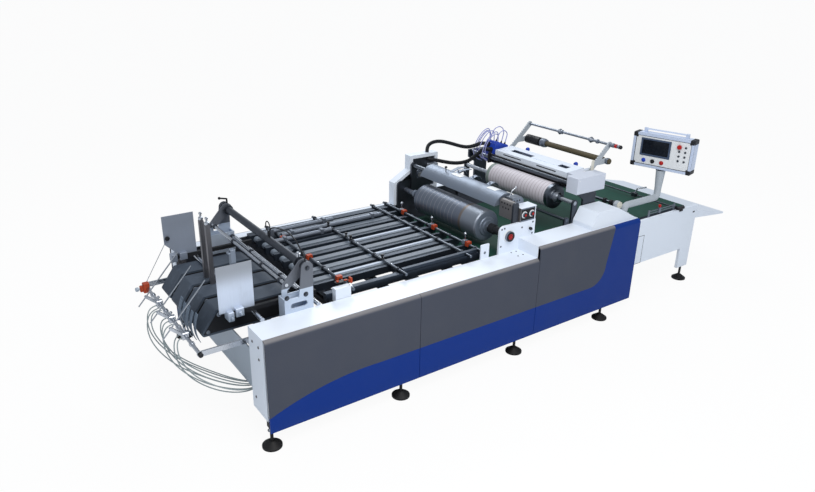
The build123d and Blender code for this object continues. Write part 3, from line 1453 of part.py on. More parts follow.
def toothed_arm(y0):
    """One arm with its bores and its rack teeth."""
    y1 = y0 + ARM_T
    side_profile(
        (
            (at(BEAM_START) + ARM_SADDLE_INSET, BEAM_TOP),
            (at(BEAM_END), BEAM_TOP),
            (at(ARM_ROOT_X) + side_x, ARM_FOOT_TOP - side_z),
            (at(ARM_TOP_X) + side_x, ARM_TOP_Z - side_z),
            (at(ARM_TOP_X) - side_x, ARM_TOP_Z + side_z),
            (at(ARM_ROOT_X) - side_x, ARM_FOOT_TOP + side_z),
            (at(BEAM_START) + ARM_SADDLE_INSET, BEAM_TOP + ARM_SADDLE_RISE),
        ),
        y0,
        y1,
    )
    rod_y(at(ARM_TOP_X), ARM_TOP_Z, ARM_HALF, y0, y1)
    lug_start = ARM_TOP_X - (ARM_TOP_Z - CORE_Z) * ARM_RUN / ARM_CLIMB
    side_slot(
        at((lug_start + CORE_X) / 2),
        CORE_Z,
        CORE_X - lug_start + 2 * LUG_HALF,
        2 * LUG_HALF,
        y0,
        y1,
    )
    rod_y(at(CORE_X), CORE_Z, CORE_SHAFT_RADIUS + RUNNING_GAP, y0, y1, Mode.SUBTRACT)
    rod_y(at(ARM_TOP_X), ARM_TOP_Z, UNWIND_RADIUS + RUNNING_GAP, y0, y1, Mode.SUBTRACT)
    first_tooth = TOOTH_INSET + (TOOTH_COUNT - 1) * TOOTH_PITCH / 2
    edge_plane = Plane(
        origin=(
            at(ARM_ROOT_X) - side_x + first_tooth * along_x,
            y1,
            ARM_FOOT_TOP + side_z + first_tooth * along_z,
        ),
        x_dir=(along_x, 0, along_z),
        z_dir=(0, -1, 0),
    )
    with BuildSketch(edge_plane) as gaps:
        with GridLocations(TOOTH_PITCH, 0, TOOTH_COUNT, 1):
            Rectangle(TOOTH_GAP, 2 * TOOTH_DEPTH)
    extrude(gaps.sketch, amount=ARM_T, mode=Mode.SUBTRACT)


with BuildPart() as unwind_arms:
    toothed_arm(ARM_NEAR)
    toothed_arm(ARM_FAR)
finish(unwind_arms, "unwind_arms")

# Core brake: a black drum on the far arm around the core's shaft
BRAKE_RADIUS = 46.0
BRAKE_LENGTH = 190.0
BRAKE_BORE = CORE_SHAFT_RADIUS + RUNNING_GAP
with BuildPart() as core_brake:
    rod_y(at(CORE_X), CORE_Z, BRAKE_RADIUS, ARM_FAR - BRAKE_LENGTH, ARM_FAR)
    rod_y(at(CORE_X), CORE_Z, BRAKE_BORE, ARM_FAR - BRAKE_LENGTH, ARM_FAR, Mode.SUBTRACT)
finish(core_brake, "core_brake")

# Core roll: the lower roll of film, on its shaft between the arms, with a round end cap
CORE_ROLL_INSET = 40.0
CORE_ROLL_GAP = 8.0
CORE_CAP_GAP = 8.0
CORE_CAP_LENGTH = 30.0
CORE_CAP_RADIUS = 26.0
CORE_SHAFT_END = 10.0
with BuildPart() as core_roll:
    rod_y(
        at(CORE_X),
        CORE_Z,
        CORE_RADIUS,
        ARM_NEAR + CORE_ROLL_INSET,
        ARM_FAR - BRAKE_LENGTH - CORE_ROLL_GAP,
    )
    rod_y(
        at(CORE_X),
        CORE_Z,
        CORE_SHAFT_RADIUS,
        ARM_NEAR - CORE_CAP_GAP,
        ARM_FAR + ARM_T + CORE_SHAFT_END,
    )
    rod_y(
        at(CORE_X),
        CORE_Z,
        CORE_CAP_RADIUS,
        ARM_NEAR - CORE_CAP_GAP - CORE_CAP_LENGTH,
        ARM_NEAR - CORE_CAP_GAP,
    )
finish(core_roll, "core_roll")

# Unwind shaft: the reel's shaft with two clamping cones, a collar, a grip and a ball knob
CONE_RADIUS = 30.0
CONE_LIP = 3.0
CONE_LENGTH = 60.0
FIRST_CONE = 230.0
CONE_SPACING = 405.0
UNWIND_COLLAR_RADIUS = 20.0
UNWIND_COLLAR_GAP = 6.0
UNWIND_COLLAR_LENGTH = 34.0
UNWIND_BALL_RADIUS = 18.0
UNWIND_NEAR_REACH = 105.0
UNWIND_FAR_REACH = 20.0
UNWIND_NEAR = ARM_NEAR - UNWIND_NEAR_REACH
with BuildPart() as unwind_shaft:
    rod_y(
        at(ARM_TOP_X),
        ARM_TOP_Z,
        UNWIND_RADIUS,
        UNWIND_NEAR,
        ARM_FAR + ARM_T + UNWIND_FAR_REACH,
    )
    rod_y(
        at(ARM_TOP_X),
        ARM_TOP_Z,
        UNWIND_COLLAR_RADIUS,
        ARM_NEAR - UNWIND_COLLAR_GAP - UNWIND_COLLAR_LENGTH,
        ARM_NEAR - UNWIND_COLLAR_GAP,
    )
    for cone_y in (ARM_NEAR + FIRST_CONE, ARM_NEAR + FIRST_CONE + CONE_SPACING):
        with BuildSketch(Plane.YZ.offset(at(ARM_TOP_X))) as cone:
            with BuildLine():
                Polyline(
                    (cone_y - CONE_LENGTH / 2, ARM_TOP_Z),
                    (cone_y - CONE_LENGTH / 2, ARM_TOP_Z + UNWIND_RADIUS + CONE_LIP),
                    (cone_y, ARM_TOP_Z + CONE_RADIUS),
                    (cone_y + CONE_LENGTH / 2, ARM_TOP_Z + UNWIND_RADIUS + CONE_LIP),
                    (cone_y + CONE_LENGTH / 2, ARM_TOP_Z),
                    close=True,
                )
            make_face()
        revolve(cone.sketch, axis=Axis((at(ARM_TOP_X), 0, ARM_TOP_Z), (0, 1, 0)))
    with Locations((at(ARM_TOP_X), UNWIND_NEAR, ARM_TOP_Z)):
        Sphere(UNWIND_BALL_RADIUS)
finish(unwind_shaft, "unwind_shaft")

# Delivery sides: white sheets with a leg at the end, joined to the body's end plate
DELIVERY_DROP = 24.0
DELIVERY_TOP = COVER_TOP - DELIVERY_DROP
DELIVERY_BOTTOM = 372.0
DELIVERY_OUTLINE = (
    (BODY_END, DELIVERY_BOTTOM),
    (at(DELIVERY_END - DELIVERY_LEG), DELIVERY_BOTTOM),
    (at(DELIVERY_END - DELIVERY_LEG), DELIVERY_LEG_BOTTOM),
    (at(DELIVERY_END), DELIVERY_LEG_BOTTOM),
    (at(DELIVERY_END), DELIVERY_TOP),
    (BODY_END, DELIVERY_TOP),
)
with BuildPart() as delivery_sides:
    for y0 in (DELIVERY_NEAR, DELIVERY_FAR - DELIVERY_SHEET):
        side_profile(DELIVERY_OUTLINE, y0, y0 + DELIVERY_SHEET)
finish(delivery_sides, "delivery_sides")

# Belt bed and belt: a long flat bed with round ends under the rollers and out to the tray
BELT_LEAD = 420.0
BELT_END_INSET = 55.0
BELT_START = SEAM_2 - BELT_LEAD
BELT_END = DELIVERY_END - BELT_END_INSET
BELT_DROP = 44.0
BELT_TOP = COVER_TOP - BELT_DROP
BELT_T = 4.0
BED_DEPTH = 70.0
BELT_NEAR_INSET = 14.0
BELT_FAR_INSET = 80.0
BELT_NEAR = NEAR_IN + BELT_NEAR_INSET
BELT_FAR = DELIVERY_FAR - BELT_FAR_INSET
with BuildPart() as belt_bed:
    side_slot(
        at((BELT_START + BELT_END) / 2),
        BELT_TOP - BELT_T - BED_DEPTH / 2,
        BELT_END - BELT_START - 2 * BELT_T,
        BED_DEPTH,
        BELT_NEAR,
        BELT_FAR,
    )
finish(belt_bed, "belt_bed")

with BuildPart() as delivery_belt:
    with BuildSketch(Plane.XZ.offset(-BELT_FAR)) as loop:
        with Locations((at((BELT_START + BELT_END) / 2), BELT_TOP - BELT_T - BED_DEPTH / 2)):
            SlotOverall(BELT_END - BELT_START, BED_DEPTH + 2 * BELT_T)
            SlotOverall(
                BELT_END - BELT_START - 2 * BELT_T + 2 * RUNNING_GAP,
                BED_DEPTH + 2 * RUNNING_GAP,
                mode=Mode.SUBTRACT,
            )
    extrude(loop.sketch, amount=BELT_FAR - BELT_NEAR)
finish(delivery_belt, "delivery_belt")

# Bed hangers: cross bars under the belt, wall to wall in the body and side to side behind
HANGER = 40.0
HANGER_TOP = BELT_TOP - 2 * BELT_T - BED_DEPTH - RUNNING_GAP
FIRST_HANGER = 210.0
SECOND_HANGER = 390.0
THIRD_HANGER_BACK = 230.0
FOURTH_HANGER = 270.0
LAST_HANGER_BACK = 240.0
BODY_HANGERS = (
    BELT_START + FIRST_HANGER,
    SEAM_2 + SECOND_HANGER,
    BODY_LENGTH - THIRD_HANGER_BACK,
)
DELIVERY_HANGERS = (BODY_LENGTH + FOURTH_HANGER, DELIVERY_END - LAST_HANGER_BACK)
with BuildPart() as bed_hangers:
    for station in BODY_HANGERS:
        block(at(station), at(station) + HANGER, NEAR_IN, FAR_IN, HANGER_TOP - HANGER, HANGER_TOP)
    for station in DELIVERY_HANGERS:
        block(
            at(station),
            at(station) + HANGER,
            DELIVERY_NEAR + DELIVERY_SHEET,
            DELIVERY_FAR - DELIVERY_SHEET,
            HANGER_TOP - HANGER,
            HANGER_TOP,
        )
finish(bed_hangers, "bed_hangers")

# Delivery rod: a dark rod over the belt between two small plates on the delivery's sides,
# with a square block clamped on it
DELIVERY_ROD_BACK = 340.0
DELIVERY_ROD_RISE = 38.0
DELIVERY_ROD_RADIUS = 8.0
ROD_LUG_WIDTH = 40.0
ROD_LUG_T = 6.0
ROD_LUG_HEIGHT = 100.0
ROD_BLOCK = 40.0
ROD_BLOCK_LENGTH = 56.0
ROD_BLOCK_INSET = 496.0
with BuildPart() as delivery_rod:
    rod_station = DELIVERY_END - DELIVERY_ROD_BACK
    rod_height = BELT_TOP + DELIVERY_ROD_RISE
    lug_near = DELIVERY_NEAR + DELIVERY_SHEET
    lug_far = DELIVERY_FAR - DELIVERY_SHEET - ROD_LUG_T
    for y0 in (lug_near, lug_far):
        block(
            at(rod_station) - ROD_LUG_WIDTH / 2,
            at(rod_station) + ROD_LUG_WIDTH / 2,
            y0,
            y0 + ROD_LUG_T,
            rod_height - ROD_LUG_HEIGHT + ROD_LUG_WIDTH / 2,
            rod_height + ROD_LUG_WIDTH / 2,
        )
    rod_y(at(rod_station), rod_height, DELIVERY_ROD_RADIUS, lug_near + ROD_LUG_T, lug_far)
    block_near = lug_near + ROD_BLOCK_INSET
    block(
        at(rod_station) - ROD_BLOCK / 2,
        at(rod_station) + ROD_BLOCK / 2,
        block_near,
        block_near + ROD_BLOCK_LENGTH,
        rod_height - ROD_BLOCK / 2,
        rod_height + ROD_BLOCK / 2,
    )
finish(delivery_rod, "delivery_rod")

# End tray: a sloping white tray of folded sheet behind the belt's end roller
TRAY_END = DELIVERY_END + TRAY_LENGTH
TRAY_DROP = 67.0
TRAY_FALL = 120.0
TRAY_DEPTH = 85.0
TRAY_TIP = 20.0
TRAY_SHEET = 4.0
TRAY_INSET = 10.0
TRAY_HIGH = DELIVERY_TOP - TRAY_DROP
TRAY_LOW = TRAY_HIGH - TRAY_FALL
TRAY_ROOT = TRAY_HIGH - TRAY_DEPTH
TRAY_BELOW = TRAY_LOW - 2 * TRAY_TIP
TRAY_NEAR = DELIVERY_NEAR + TRAY_INSET
TRAY_FAR = DELIVERY_FAR - TRAY_INSET
with BuildPart() as end_tray:
    side_profile(
        (
            (at(DELIVERY_END), TRAY_ROOT),
            (at(TRAY_END), TRAY_LOW - TRAY_TIP),
            (at(TRAY_END), TRAY_LOW),
            (at(DELIVERY_END), TRAY_HIGH),
        ),
        TRAY_NEAR,
        TRAY_FAR,
    )
    side_profile(
        (
            (at(DELIVERY_END) + TRAY_SHEET, TRAY_BELOW),
            (at(TRAY_END) - TRAY_SHEET, TRAY_BELOW),
            (at(TRAY_END) - TRAY_SHEET, TRAY_LOW - TRAY_SHEET),
            (at(DELIVERY_END) + TRAY_SHEET, TRAY_HIGH - TRAY_SHEET),
        ),
        TRAY_NEAR + TRAY_SHEET,
        TRAY_FAR - TRAY_SHEET,
        Mode.SUBTRACT,
    )
finish(end_tray, "end_tray")

# Belt tensioner: two small upright plates with two thin rods and a joint block between
TENSION_LEAD = 405.0
TENSION_END_BACK = 393.0
TENSION_PLATE = 30.0
TENSION_RISE = 78.0
TENSION_CAP = 14.0
TENSION_ROD = 5.0
TENSION_ROD_PITCH = 24.0
TENSION_T = 6.0
TENSION_JOINT_LEAD = 165.0
TENSION_JOINT_L = 34.0
TENSION_JOINT_SIDE = 6.0
TENSION_START = BODY_LENGTH + TENSION_LEAD
TENSION_END = DELIVERY_END - TENSION_END_BACK
TENSION_Z = BELT_TOP + TENSION_RISE
TENSION_Y = DELIVERY_NEAR + DELIVERY_SHEET
with BuildPart() as belt_tensioner:
    for station in (TENSION_START, TENSION_END):
        block(
            at(station),
            at(station) + TENSION_PLATE,
            TENSION_Y,
            TENSION_Y + TENSION_T,
            BELT_TOP - BED_DEPTH,
            TENSION_Z + TENSION_CAP,
        )
    for line_z in (TENSION_Z, TENSION_Z - TENSION_ROD_PITCH):
        rod_x(
            TENSION_Y + TENSION_T / 2,
            line_z,
            TENSION_ROD,
            at(TENSION_START) + TENSION_PLATE,
            at(TENSION_END),
        )
    block(
        at(TENSION_START + TENSION_JOINT_LEAD),
        at(TENSION_START + TENSION_JOINT_LEAD) + TENSION_JOINT_L,
        TENSION_Y - TENSION_JOINT_SIDE,
        TENSION_Y + TENSION_T + TENSION_JOINT_SIDE,
        TENSION_Z - TENSION_ROD_PITCH - TENSION_CAP,
        TENSION_Z + TENSION_CAP,
    )
finish(belt_tensioner, "belt_tensioner")

# Control arm base: a bracket on the end plate of the body with a round seat, and the
# eight-sided hub on the end of the last shaft beside it
ARM_STAND_OUT = 42.0
ARM_SIDE_INSET = 55.0
ARM_X = BODY_LENGTH + ARM_STAND_OUT
ARM_Y = DELIVERY_NEAR + ARM_SIDE_INSET
ARM_BASE_RADIUS = 30.0
ARM_BRACKET_RISE = 24.0
ARM_BRACKET_HEIGHT = 70.0
ARM_SEAT_HEIGHT = 25.0
ARM_BRACKET_BOTTOM = COVER_TOP + ARM_BRACKET_RISE
ARM_BRACKET_TOP = ARM_BRACKET_BOTTOM + ARM_BRACKET_HEIGHT
ARM_BASE_TOP = ARM_BRACKET_TOP + ARM_SEAT_HEIGHT
ARM_BRACKET_HALF = 36.0
HUB_RADIUS = 38.0
HUB_SIDES = 8
HUB_LENGTH = 40.0
with BuildPart() as arm_base:
    block(
        BODY_END,
        at(ARM_X) + ARM_BRACKET_HALF,
        ARM_Y - ARM_BRACKET_HALF,
        ARM_Y + ARM_BRACKET_HALF,
        ARM_BRACKET_BOTTOM,
        ARM_BRACKET_TOP,
    )
    rod_z(at(ARM_X), ARM_Y, ARM_BASE_RADIUS, ARM_BRACKET_TOP, ARM_BASE_TOP)
    with BuildSketch(Plane.XZ.offset(-NEAR_IN)) as hub:
        with Locations((at(END_SHAFT_X), END_SHAFT_Z)):
            RegularPolygon(HUB_RADIUS, HUB_SIDES, rotation=180 / HUB_SIDES)
    extrude(hub.sketch, amount=HUB_LENGTH)
finish(arm_base, "arm_base")

# Control arm: elbow, round arm, second elbow and a neck that widens upwards
ARM_TUBE_RADIUS = 33.0
ARM_ELBOW_RISE = 45.0
ARM_TUBE_Z = ARM_BASE_TOP + ARM_ELBOW_RISE
ARM_ELBOW_RADIUS = 42.0
ARM_LENGTH = 493.0
NECK_LIFT = 90.0
NECK_HEIGHT = 282.0
NECK_FOOT = ARM_TUBE_Z + NECK_LIFT
NECK_TOP = ARM_TUBE_Z + NECK_HEIGHT
NECK_TOP_RADIUS = 46.0
NECK_X = at(ARM_X + ARM_LENGTH)
with BuildPart() as control_arm:
    with BuildLine() as arm_path:
        FilletPolyline(
            (at(ARM_X), ARM_Y, ARM_BASE_TOP + RUNNING_GAP),
            (at(ARM_X), ARM_Y, ARM_TUBE_Z),
            (NECK_X, ARM_Y, ARM_TUBE_Z),
            (NECK_X, ARM_Y, NECK_FOOT),
            radius=ARM_ELBOW_RADIUS,
        )
    with BuildSketch(Plane.XY.offset(ARM_BASE_TOP + RUNNING_GAP)) as tube_end:
        with Locations((at(ARM_X), ARM_Y)):
            Circle(ARM_TUBE_RADIUS)
    sweep(tube_end.sketch, path=arm_path.line)
    with BuildSketch(Plane.XY.offset(NECK_FOOT)) as neck_foot:
        with Locations((NECK_X, ARM_Y)):
            Circle(ARM_TUBE_RADIUS)
    with BuildSketch(Plane.XY.offset(NECK_TOP)) as neck_top:
        with Locations((NECK_X, ARM_Y)):
            Circle(NECK_TOP_RADIUS)
    loft([neck_foot.sketch, neck_top.sketch])
finish(control_arm, "control_arm")

# Control box: a cabinet with a sunk front, rounded corners and a carry handle, on a flange
# at the top of the neck
PANEL_W = 600.0
PANEL_H = 335.0
PANEL_D = 110.0
PANEL_YAW = 14.0
PANEL_CORNER = 26.0
PANEL_SIDE = 26.0
PANEL_SUNK = 5.0
FLANGE_RADIUS = 48.0
FLANGE_T = 14.0
PANEL_BASE = NECK_TOP + RUNNING_GAP + FLANGE_T
HANDLE_H = 45.0
HANDLE_SPAN = 420.0
HANDLE_FOOT = 24.0
HANDLE_FOOT_D = 20.0
HANDLE_BAR = 14.0
HANDLE_LIP = 4.0
with BuildPart() as control_box:
    face_dir = (-cos(radians(PANEL_YAW)), -sin(radians(PANEL_YAW)), 0)
    across_dir = (sin(radians(PANEL_YAW)), -cos(radians(PANEL_YAW)), 0)
    mid_plane = Plane(
        origin=(NECK_X, ARM_Y, PANEL_BASE + PANEL_H / 2), x_dir=across_dir, z_dir=face_dir
    )
    with BuildSketch(mid_plane) as cabinet:
        RectangleRounded(PANEL_W, PANEL_H, PANEL_CORNER)
    extrude(cabinet.sketch, amount=PANEL_D / 2, both=True)
    with BuildSketch(mid_plane.offset(PANEL_D / 2 - PANEL_SUNK)) as sunk_face:
        Rectangle(PANEL_W - 2 * PANEL_SIDE, PANEL_H - 2 * PANEL_SIDE)
    extrude(sunk_face.sketch, amount=PANEL_SUNK, mode=Mode.SUBTRACT)
    top_plane = Plane(
        origin=(NECK_X, ARM_Y, PANEL_BASE + PANEL_H), x_dir=across_dir, z_dir=(0, 0, 1)
    )
    with BuildSketch(top_plane) as handle_feet:
        with GridLocations(HANDLE_SPAN, 0, 2, 1):
            Rectangle(HANDLE_FOOT, HANDLE_FOOT_D)
    extrude(handle_feet.sketch, amount=HANDLE_H)
    with BuildSketch(top_plane.offset(HANDLE_H - HANDLE_BAR - HANDLE_LIP)) as handle_bar:
        Rectangle(HANDLE_SPAN, HANDLE_BAR)
    extrude(handle_bar.sketch, amount=HANDLE_BAR)
    with BuildSketch(top_plane.offset(-PANEL_H)) as flange:
        Circle(FLANGE_RADIUS)
    extrude(flange.sketch, amount=-FLANGE_T)
finish(control_box, "control_box")

# Hose manifold: a block inside the near wall that the feeder hoses go up into
MANIFOLD_START = 40.0
MANIFOLD_LENGTH = 165.0
MANIFOLD_DEPTH = 70.0
MANIFOLD_BOTTOM = 440.0
MANIFOLD_TOP = 500.0
with BuildPart() as hose_manifold:
    block(
        at(MANIFOLD_START),
        at(MANIFOLD_START) + MANIFOLD_LENGTH,
        NEAR_IN,
        NEAR_IN + MANIFOLD_DEPTH,
        MANIFOLD_BOTTOM,
        MANIFOLD_TOP,
    )
finish(hose_manifold, "hose_manifold")

# Cords: each route is a list of points, as uneven as the real hose lies
CORD_SHARE = 0.45


def route_radii(points):
    """The largest arc at each corner of a route that its two runs leave room for."""
    radii = []
    for before, corner, after in zip(points, points[1:], points[2:]):
        run_in = Vector(*corner) - Vector(*before)
        run_out = Vector(*after) - Vector(*corner)
        half_turn = radians(run_in.get_angle(run_out) / 2)
        shorter = min(run_in.length, run_out.length)
        radii.append(CORD_SHARE * shorter * cos(half_turn) / sin(half_turn))
    return radii


def cord(name, points, radius):
    """A tube along straight runs joined by arcs, with its volume against its length."""
    radii = route_radii(points)
    with BuildPart() as tube:
        with BuildLine() as route:
            FilletPolyline(*points, radius=radii)
        path = route.wires()[0]
        with BuildSketch(Plane(origin=path @ 0, z_dir=path % 0)):
            Circle(radius)
        sweep(path=path)
    share = tube.part.volume / (pi * radius**2 * path.length)
    print(name, "radii", [round(r) for r in radii], "length", round(path.length), round(share, 4))
    finish(tube, name)


# Two ribbed conduits from the tall far cover to the motor
CONDUIT_RADIUS = 20.0
CONDUIT_RUN_IN = 85.0
upper_end = on_motor(0, 166)
upper_run = on_motor(-CONDUIT_RUN_IN, 166)
lower_end = on_motor(0, 118)
lower_run = on_motor(-CONDUIT_RUN_IN, 118)
CONDUIT_UPPER = (
    (at(2700), 905.0, TALL_TOP),
    (at(2700), 905.0, TALL_TOP + 45),
    (at(2722), 893.0, TALL_TOP + 86),
    (at(2768), 868.0, TALL_TOP + 108),
    (at(2832), 832.0, TALL_TOP + 112),
    (at(2918), 778.0, TALL_TOP + 88),
    (at(3000), 712.0, TALL_TOP + 60),
    (at(3072), 680.0, TALL_TOP + 50),
    (at(3152), 664.0, TALL_TOP + 64),
    (upper_run[0], 656.0, upper_run[1]),
    (upper_end[0], 656.0, upper_end[1]),
)
CONDUIT_LOWER = (
    (at(2690), TALL_PLATE_Y, 1290.0),
    (at(2690), 824.0, 1290.0),
    (at(2728), 784.0, 1287.0),
    (at(2790), 756.0, 1272.0),
    (at(2880), 724.0, 1250.0),
    (at(2975), 690.0, 1243.0),
    (at(3065), 656.0, 1262.0),
    (at(3118), 628.0, 1312.0),
    (at(3170), 604.0, 1360.0),
    (lower_run[0], 595.0, lower_run[1]),
    (lower_end[0], 595.0, lower_end[1]),
)
cord("conduit_upper", CONDUIT_UPPER, CONDUIT_RADIUS)
cord("conduit_lower", CONDUIT_LOWER, CONDUIT_RADIUS)

# Two air hoses that stand in loops on the motor
MOTOR_HOSE_RADIUS = 5.0
hose_rise = MOTOR_HEIGHT + 60
root_1 = on_motor(24, MOTOR_HEIGHT)
rise_1 = on_motor(24, hose_rise)
fall_1 = on_motor(160, hose_rise)
foot_1 = on_motor(160, MOTOR_HEIGHT)
root_2 = on_motor(40, MOTOR_HEIGHT)
rise_2 = on_motor(40, hose_rise)
fall_2 = on_motor(148, hose_rise)
foot_2 = on_motor(148, MOTOR_HEIGHT)
MOTOR_HOSE_1 = (
    (root_1[0], 680.0, root_1[1]),
    (rise_1[0], 680.0, rise_1[1]),
    (rise_1[0] + 30, 668.0, rise_1[1] + 62),
    (rise_1[0] + 96, 658.0, rise_1[1] + 78),
    (rise_1[0] + 146, 650.0, rise_1[1] + 30),
    (fall_1[0], 645.0, fall_1[1]),
    (foot_1[0], 645.0, foot_1[1]),
)
MOTOR_HOSE_2 = (
    (root_2[0], 600.0, root_2[1]),
    (rise_2[0], 600.0, rise_2[1]),
    (rise_2[0] + 26, 590.0, rise_2[1] + 44),
    (rise_2[0] + 78, 584.0, rise_2[1] + 54),
    (rise_2[0] + 116, 580.0, rise_2[1] + 16),
    (fall_2[0], 578.0, fall_2[1]),
    (foot_2[0], 578.0, foot_2[1]),
)
cord("motor_hose_1", MOTOR_HOSE_1, MOTOR_HOSE_RADIUS)
cord("motor_hose_2", MOTOR_HOSE_2, MOTOR_HOSE_RADIUS)

# Three air hoses that hang from the clamps of the front bar, pass under the infeed sheet
# and go up into the manifold
FEEDER_HOSE_RADIUS = 4.5
HOSE_EXIT_X = FRONT_X - STACK_CLAMP / 2
FEEDER_HOSE_1 = (
    (at(HOSE_EXIT_X), 255.0, 702.0),
    (at(-375), 255.0, 702.0),
    (at(-418), 240.0, 672.0),
    (at(-438), 212.0, 605.0),
    (at(-432), 170.0, 525.0),
    (at(-395), 95.0, 446.0),
    (at(-330), -10.0, 380.0),
    (at(-248), -125.0, 336.0),
    (at(-160), -250.0, 312.0),
    (at(-78), -378.0, 302.0),
    (at(2), -490.0, 304.0),
    (at(72), -570.0, 318.0),
    (at(128), -630.0, 342.0),
    (at(166), -662.0, 384.0),
    (at(166), -662.0, MANIFOLD_BOTTOM),
)
FEEDER_HOSE_2 = (
    (at(HOSE_EXIT_X), -45.0, 702.0),
    (at(-370), -45.0, 702.0),
    (at(-402), -58.0, 668.0),
    (at(-414), -82.0, 602.0),
    (at(-400), -122.0, 522.0),
    (at(-358), -188.0, 444.0),
    (at(-292), -272.0, 384.0),
    (at(-212), -366.0, 344.0),
    (at(-128), -456.0, 322.0),
    (at(-48), -538.0, 315.0),
    (at(20), -600.0, 320.0),
    (at(72), -642.0, 344.0),
    (at(106), -664.0, 386.0),
    (at(106), -664.0, MANIFOLD_BOTTOM),
)
FEEDER_HOSE_3 = (
    (at(HOSE_EXIT_X), -335.0, 702.0),
    (at(-366), -335.0, 702.0),
    (at(-388), -348.0, 660.0),
    (at(-390), -368.0, 592.0),
    (at(-366), -402.0, 512.0),
    (at(-316), -448.0, 440.0),
    (at(-246), -502.0, 386.0),
    (at(-170), -556.0, 348.0),
    (at(-94), -604.0, 328.0),
    (at(-26), -642.0, 324.0),
    (at(26), -664.0, 334.0),
    (at(54), -672.0, 370.0),
    (at(54), -672.0, MANIFOLD_BOTTOM),
)
cord("feeder_hose_1", FEEDER_HOSE_1, FEEDER_HOSE_RADIUS)
cord("feeder_hose_2", FEEDER_HOSE_2, FEEDER_HOSE_RADIUS)
cord("feeder_hose_3", FEEDER_HOSE_3, FEEDER_HOSE_RADIUS)
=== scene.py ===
"""Dresses the window patching machine: its finishes and the small parts that the solids lack."""
from math import cos, pi, radians, sin

import bmesh
import bpy
from mathutils import Matrix, Vector


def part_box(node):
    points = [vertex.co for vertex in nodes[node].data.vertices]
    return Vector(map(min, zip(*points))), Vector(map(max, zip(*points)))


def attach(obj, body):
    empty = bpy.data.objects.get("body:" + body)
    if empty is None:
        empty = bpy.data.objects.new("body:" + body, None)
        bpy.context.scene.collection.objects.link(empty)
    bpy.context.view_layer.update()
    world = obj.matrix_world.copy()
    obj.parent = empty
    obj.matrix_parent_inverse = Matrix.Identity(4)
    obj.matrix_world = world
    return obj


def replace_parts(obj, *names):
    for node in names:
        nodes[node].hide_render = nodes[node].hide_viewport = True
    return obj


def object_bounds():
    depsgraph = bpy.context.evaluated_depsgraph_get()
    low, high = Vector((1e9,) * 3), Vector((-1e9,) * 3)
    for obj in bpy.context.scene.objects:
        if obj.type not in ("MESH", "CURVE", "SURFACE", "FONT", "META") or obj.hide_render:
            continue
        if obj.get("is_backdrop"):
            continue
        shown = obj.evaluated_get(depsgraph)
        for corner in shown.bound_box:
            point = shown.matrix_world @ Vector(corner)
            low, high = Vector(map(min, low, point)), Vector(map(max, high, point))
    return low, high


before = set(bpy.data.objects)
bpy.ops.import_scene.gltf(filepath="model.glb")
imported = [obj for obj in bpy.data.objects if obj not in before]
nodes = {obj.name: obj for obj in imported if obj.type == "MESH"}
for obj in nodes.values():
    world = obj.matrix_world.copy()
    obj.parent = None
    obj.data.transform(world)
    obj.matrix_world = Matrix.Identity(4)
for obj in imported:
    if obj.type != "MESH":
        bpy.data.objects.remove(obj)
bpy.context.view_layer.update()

# The photographer's place: beside the infeed end, above the covers and looking down along
# the machine. Stations are measured from the infeed end of the side covers.
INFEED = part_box("near_white_cover")[0].x
CAMERA_STATION = -1.516
CAMERA_Y = -4.6671
CAMERA_HEIGHT = 3.1649
CAMERA_YAW = 0.6216
CAMERA_PITCH = 0.3906
CAMERA_ROLL = -0.0201
FILM_WIDTH = 36.0
PHOTO_WIDTH = 815
FOCAL_PIXELS = 687.7488


def at(station, y, z):
    """A place by its station, its side and its height."""
    return Vector((INFEED + station, y, z))


def add(name, data):
    """Puts an object with this data into the scene."""
    thing = bpy.data.objects.new(name, data)
    bpy.context.scene.collection.objects.link(thing)
    return thing


forward = Vector(
    (sin(CAMERA_YAW) * cos(CAMERA_PITCH), cos(CAMERA_YAW) * cos(CAMERA_PITCH), -sin(CAMERA_PITCH))
)
level = Vector((cos(CAMERA_YAW), -sin(CAMERA_YAW), 0.0))
upward = level.cross(forward)
rightward = level * cos(CAMERA_ROLL) - upward * sin(CAMERA_ROLL)
upward = rightward.cross(forward)
lens = bpy.data.cameras.new("photographer")
lens.sensor_width = FILM_WIDTH
lens.lens = FILM_WIDTH * FOCAL_PIXELS / PHOTO_WIDTH
camera = add("photographer", lens)
camera.matrix_world = Matrix.Translation(at(CAMERA_STATION, CAMERA_Y, CAMERA_HEIGHT)) @ Matrix(
    (rightward, upward, -forward)
).transposed().to_4x4()
bpy.context.scene.camera = camera
bpy.context.scene.view_settings.view_transform = "Standard"


# The studio: a white room with one broad lamp high over the near side, a weaker one behind the
# delivery end and a pale floor that keeps the machine's shadow.
class Socket:
    """An output of a node, so that a pattern is written as a sum."""

    def __init__(self, graph, out):
        self.graph = graph
        self.out = out

    def maths(self, operation, *others):
        """A Math node on this value and the others."""
        return self.graph.node(
            "ShaderNodeMath", {"operation": operation}, dict(enumerate((self, *others)))
        )

    def __add__(self, other):
        return self.maths("ADD", other)

    def __sub__(self, other):
        return self.maths("SUBTRACT", other)

    def __mul__(self, other):
        return self.maths("MULTIPLY", other)

    def __truediv__(self, other):
        return self.maths("DIVIDE", other)

    def __rsub__(self, other):
        return (self * -1.0) + other

    __radd__ = __add__
    __rmul__ = __mul__

    def band(self, low, high):
        """0 below low and 1 above high, or the other way round where low is the larger."""
        return self.graph.node(
            "ShaderNodeMapRange",
            {"interpolation_type": "SMOOTHSTEP"},
            {"Value": self, "From Min": low, "From Max": high},
        )


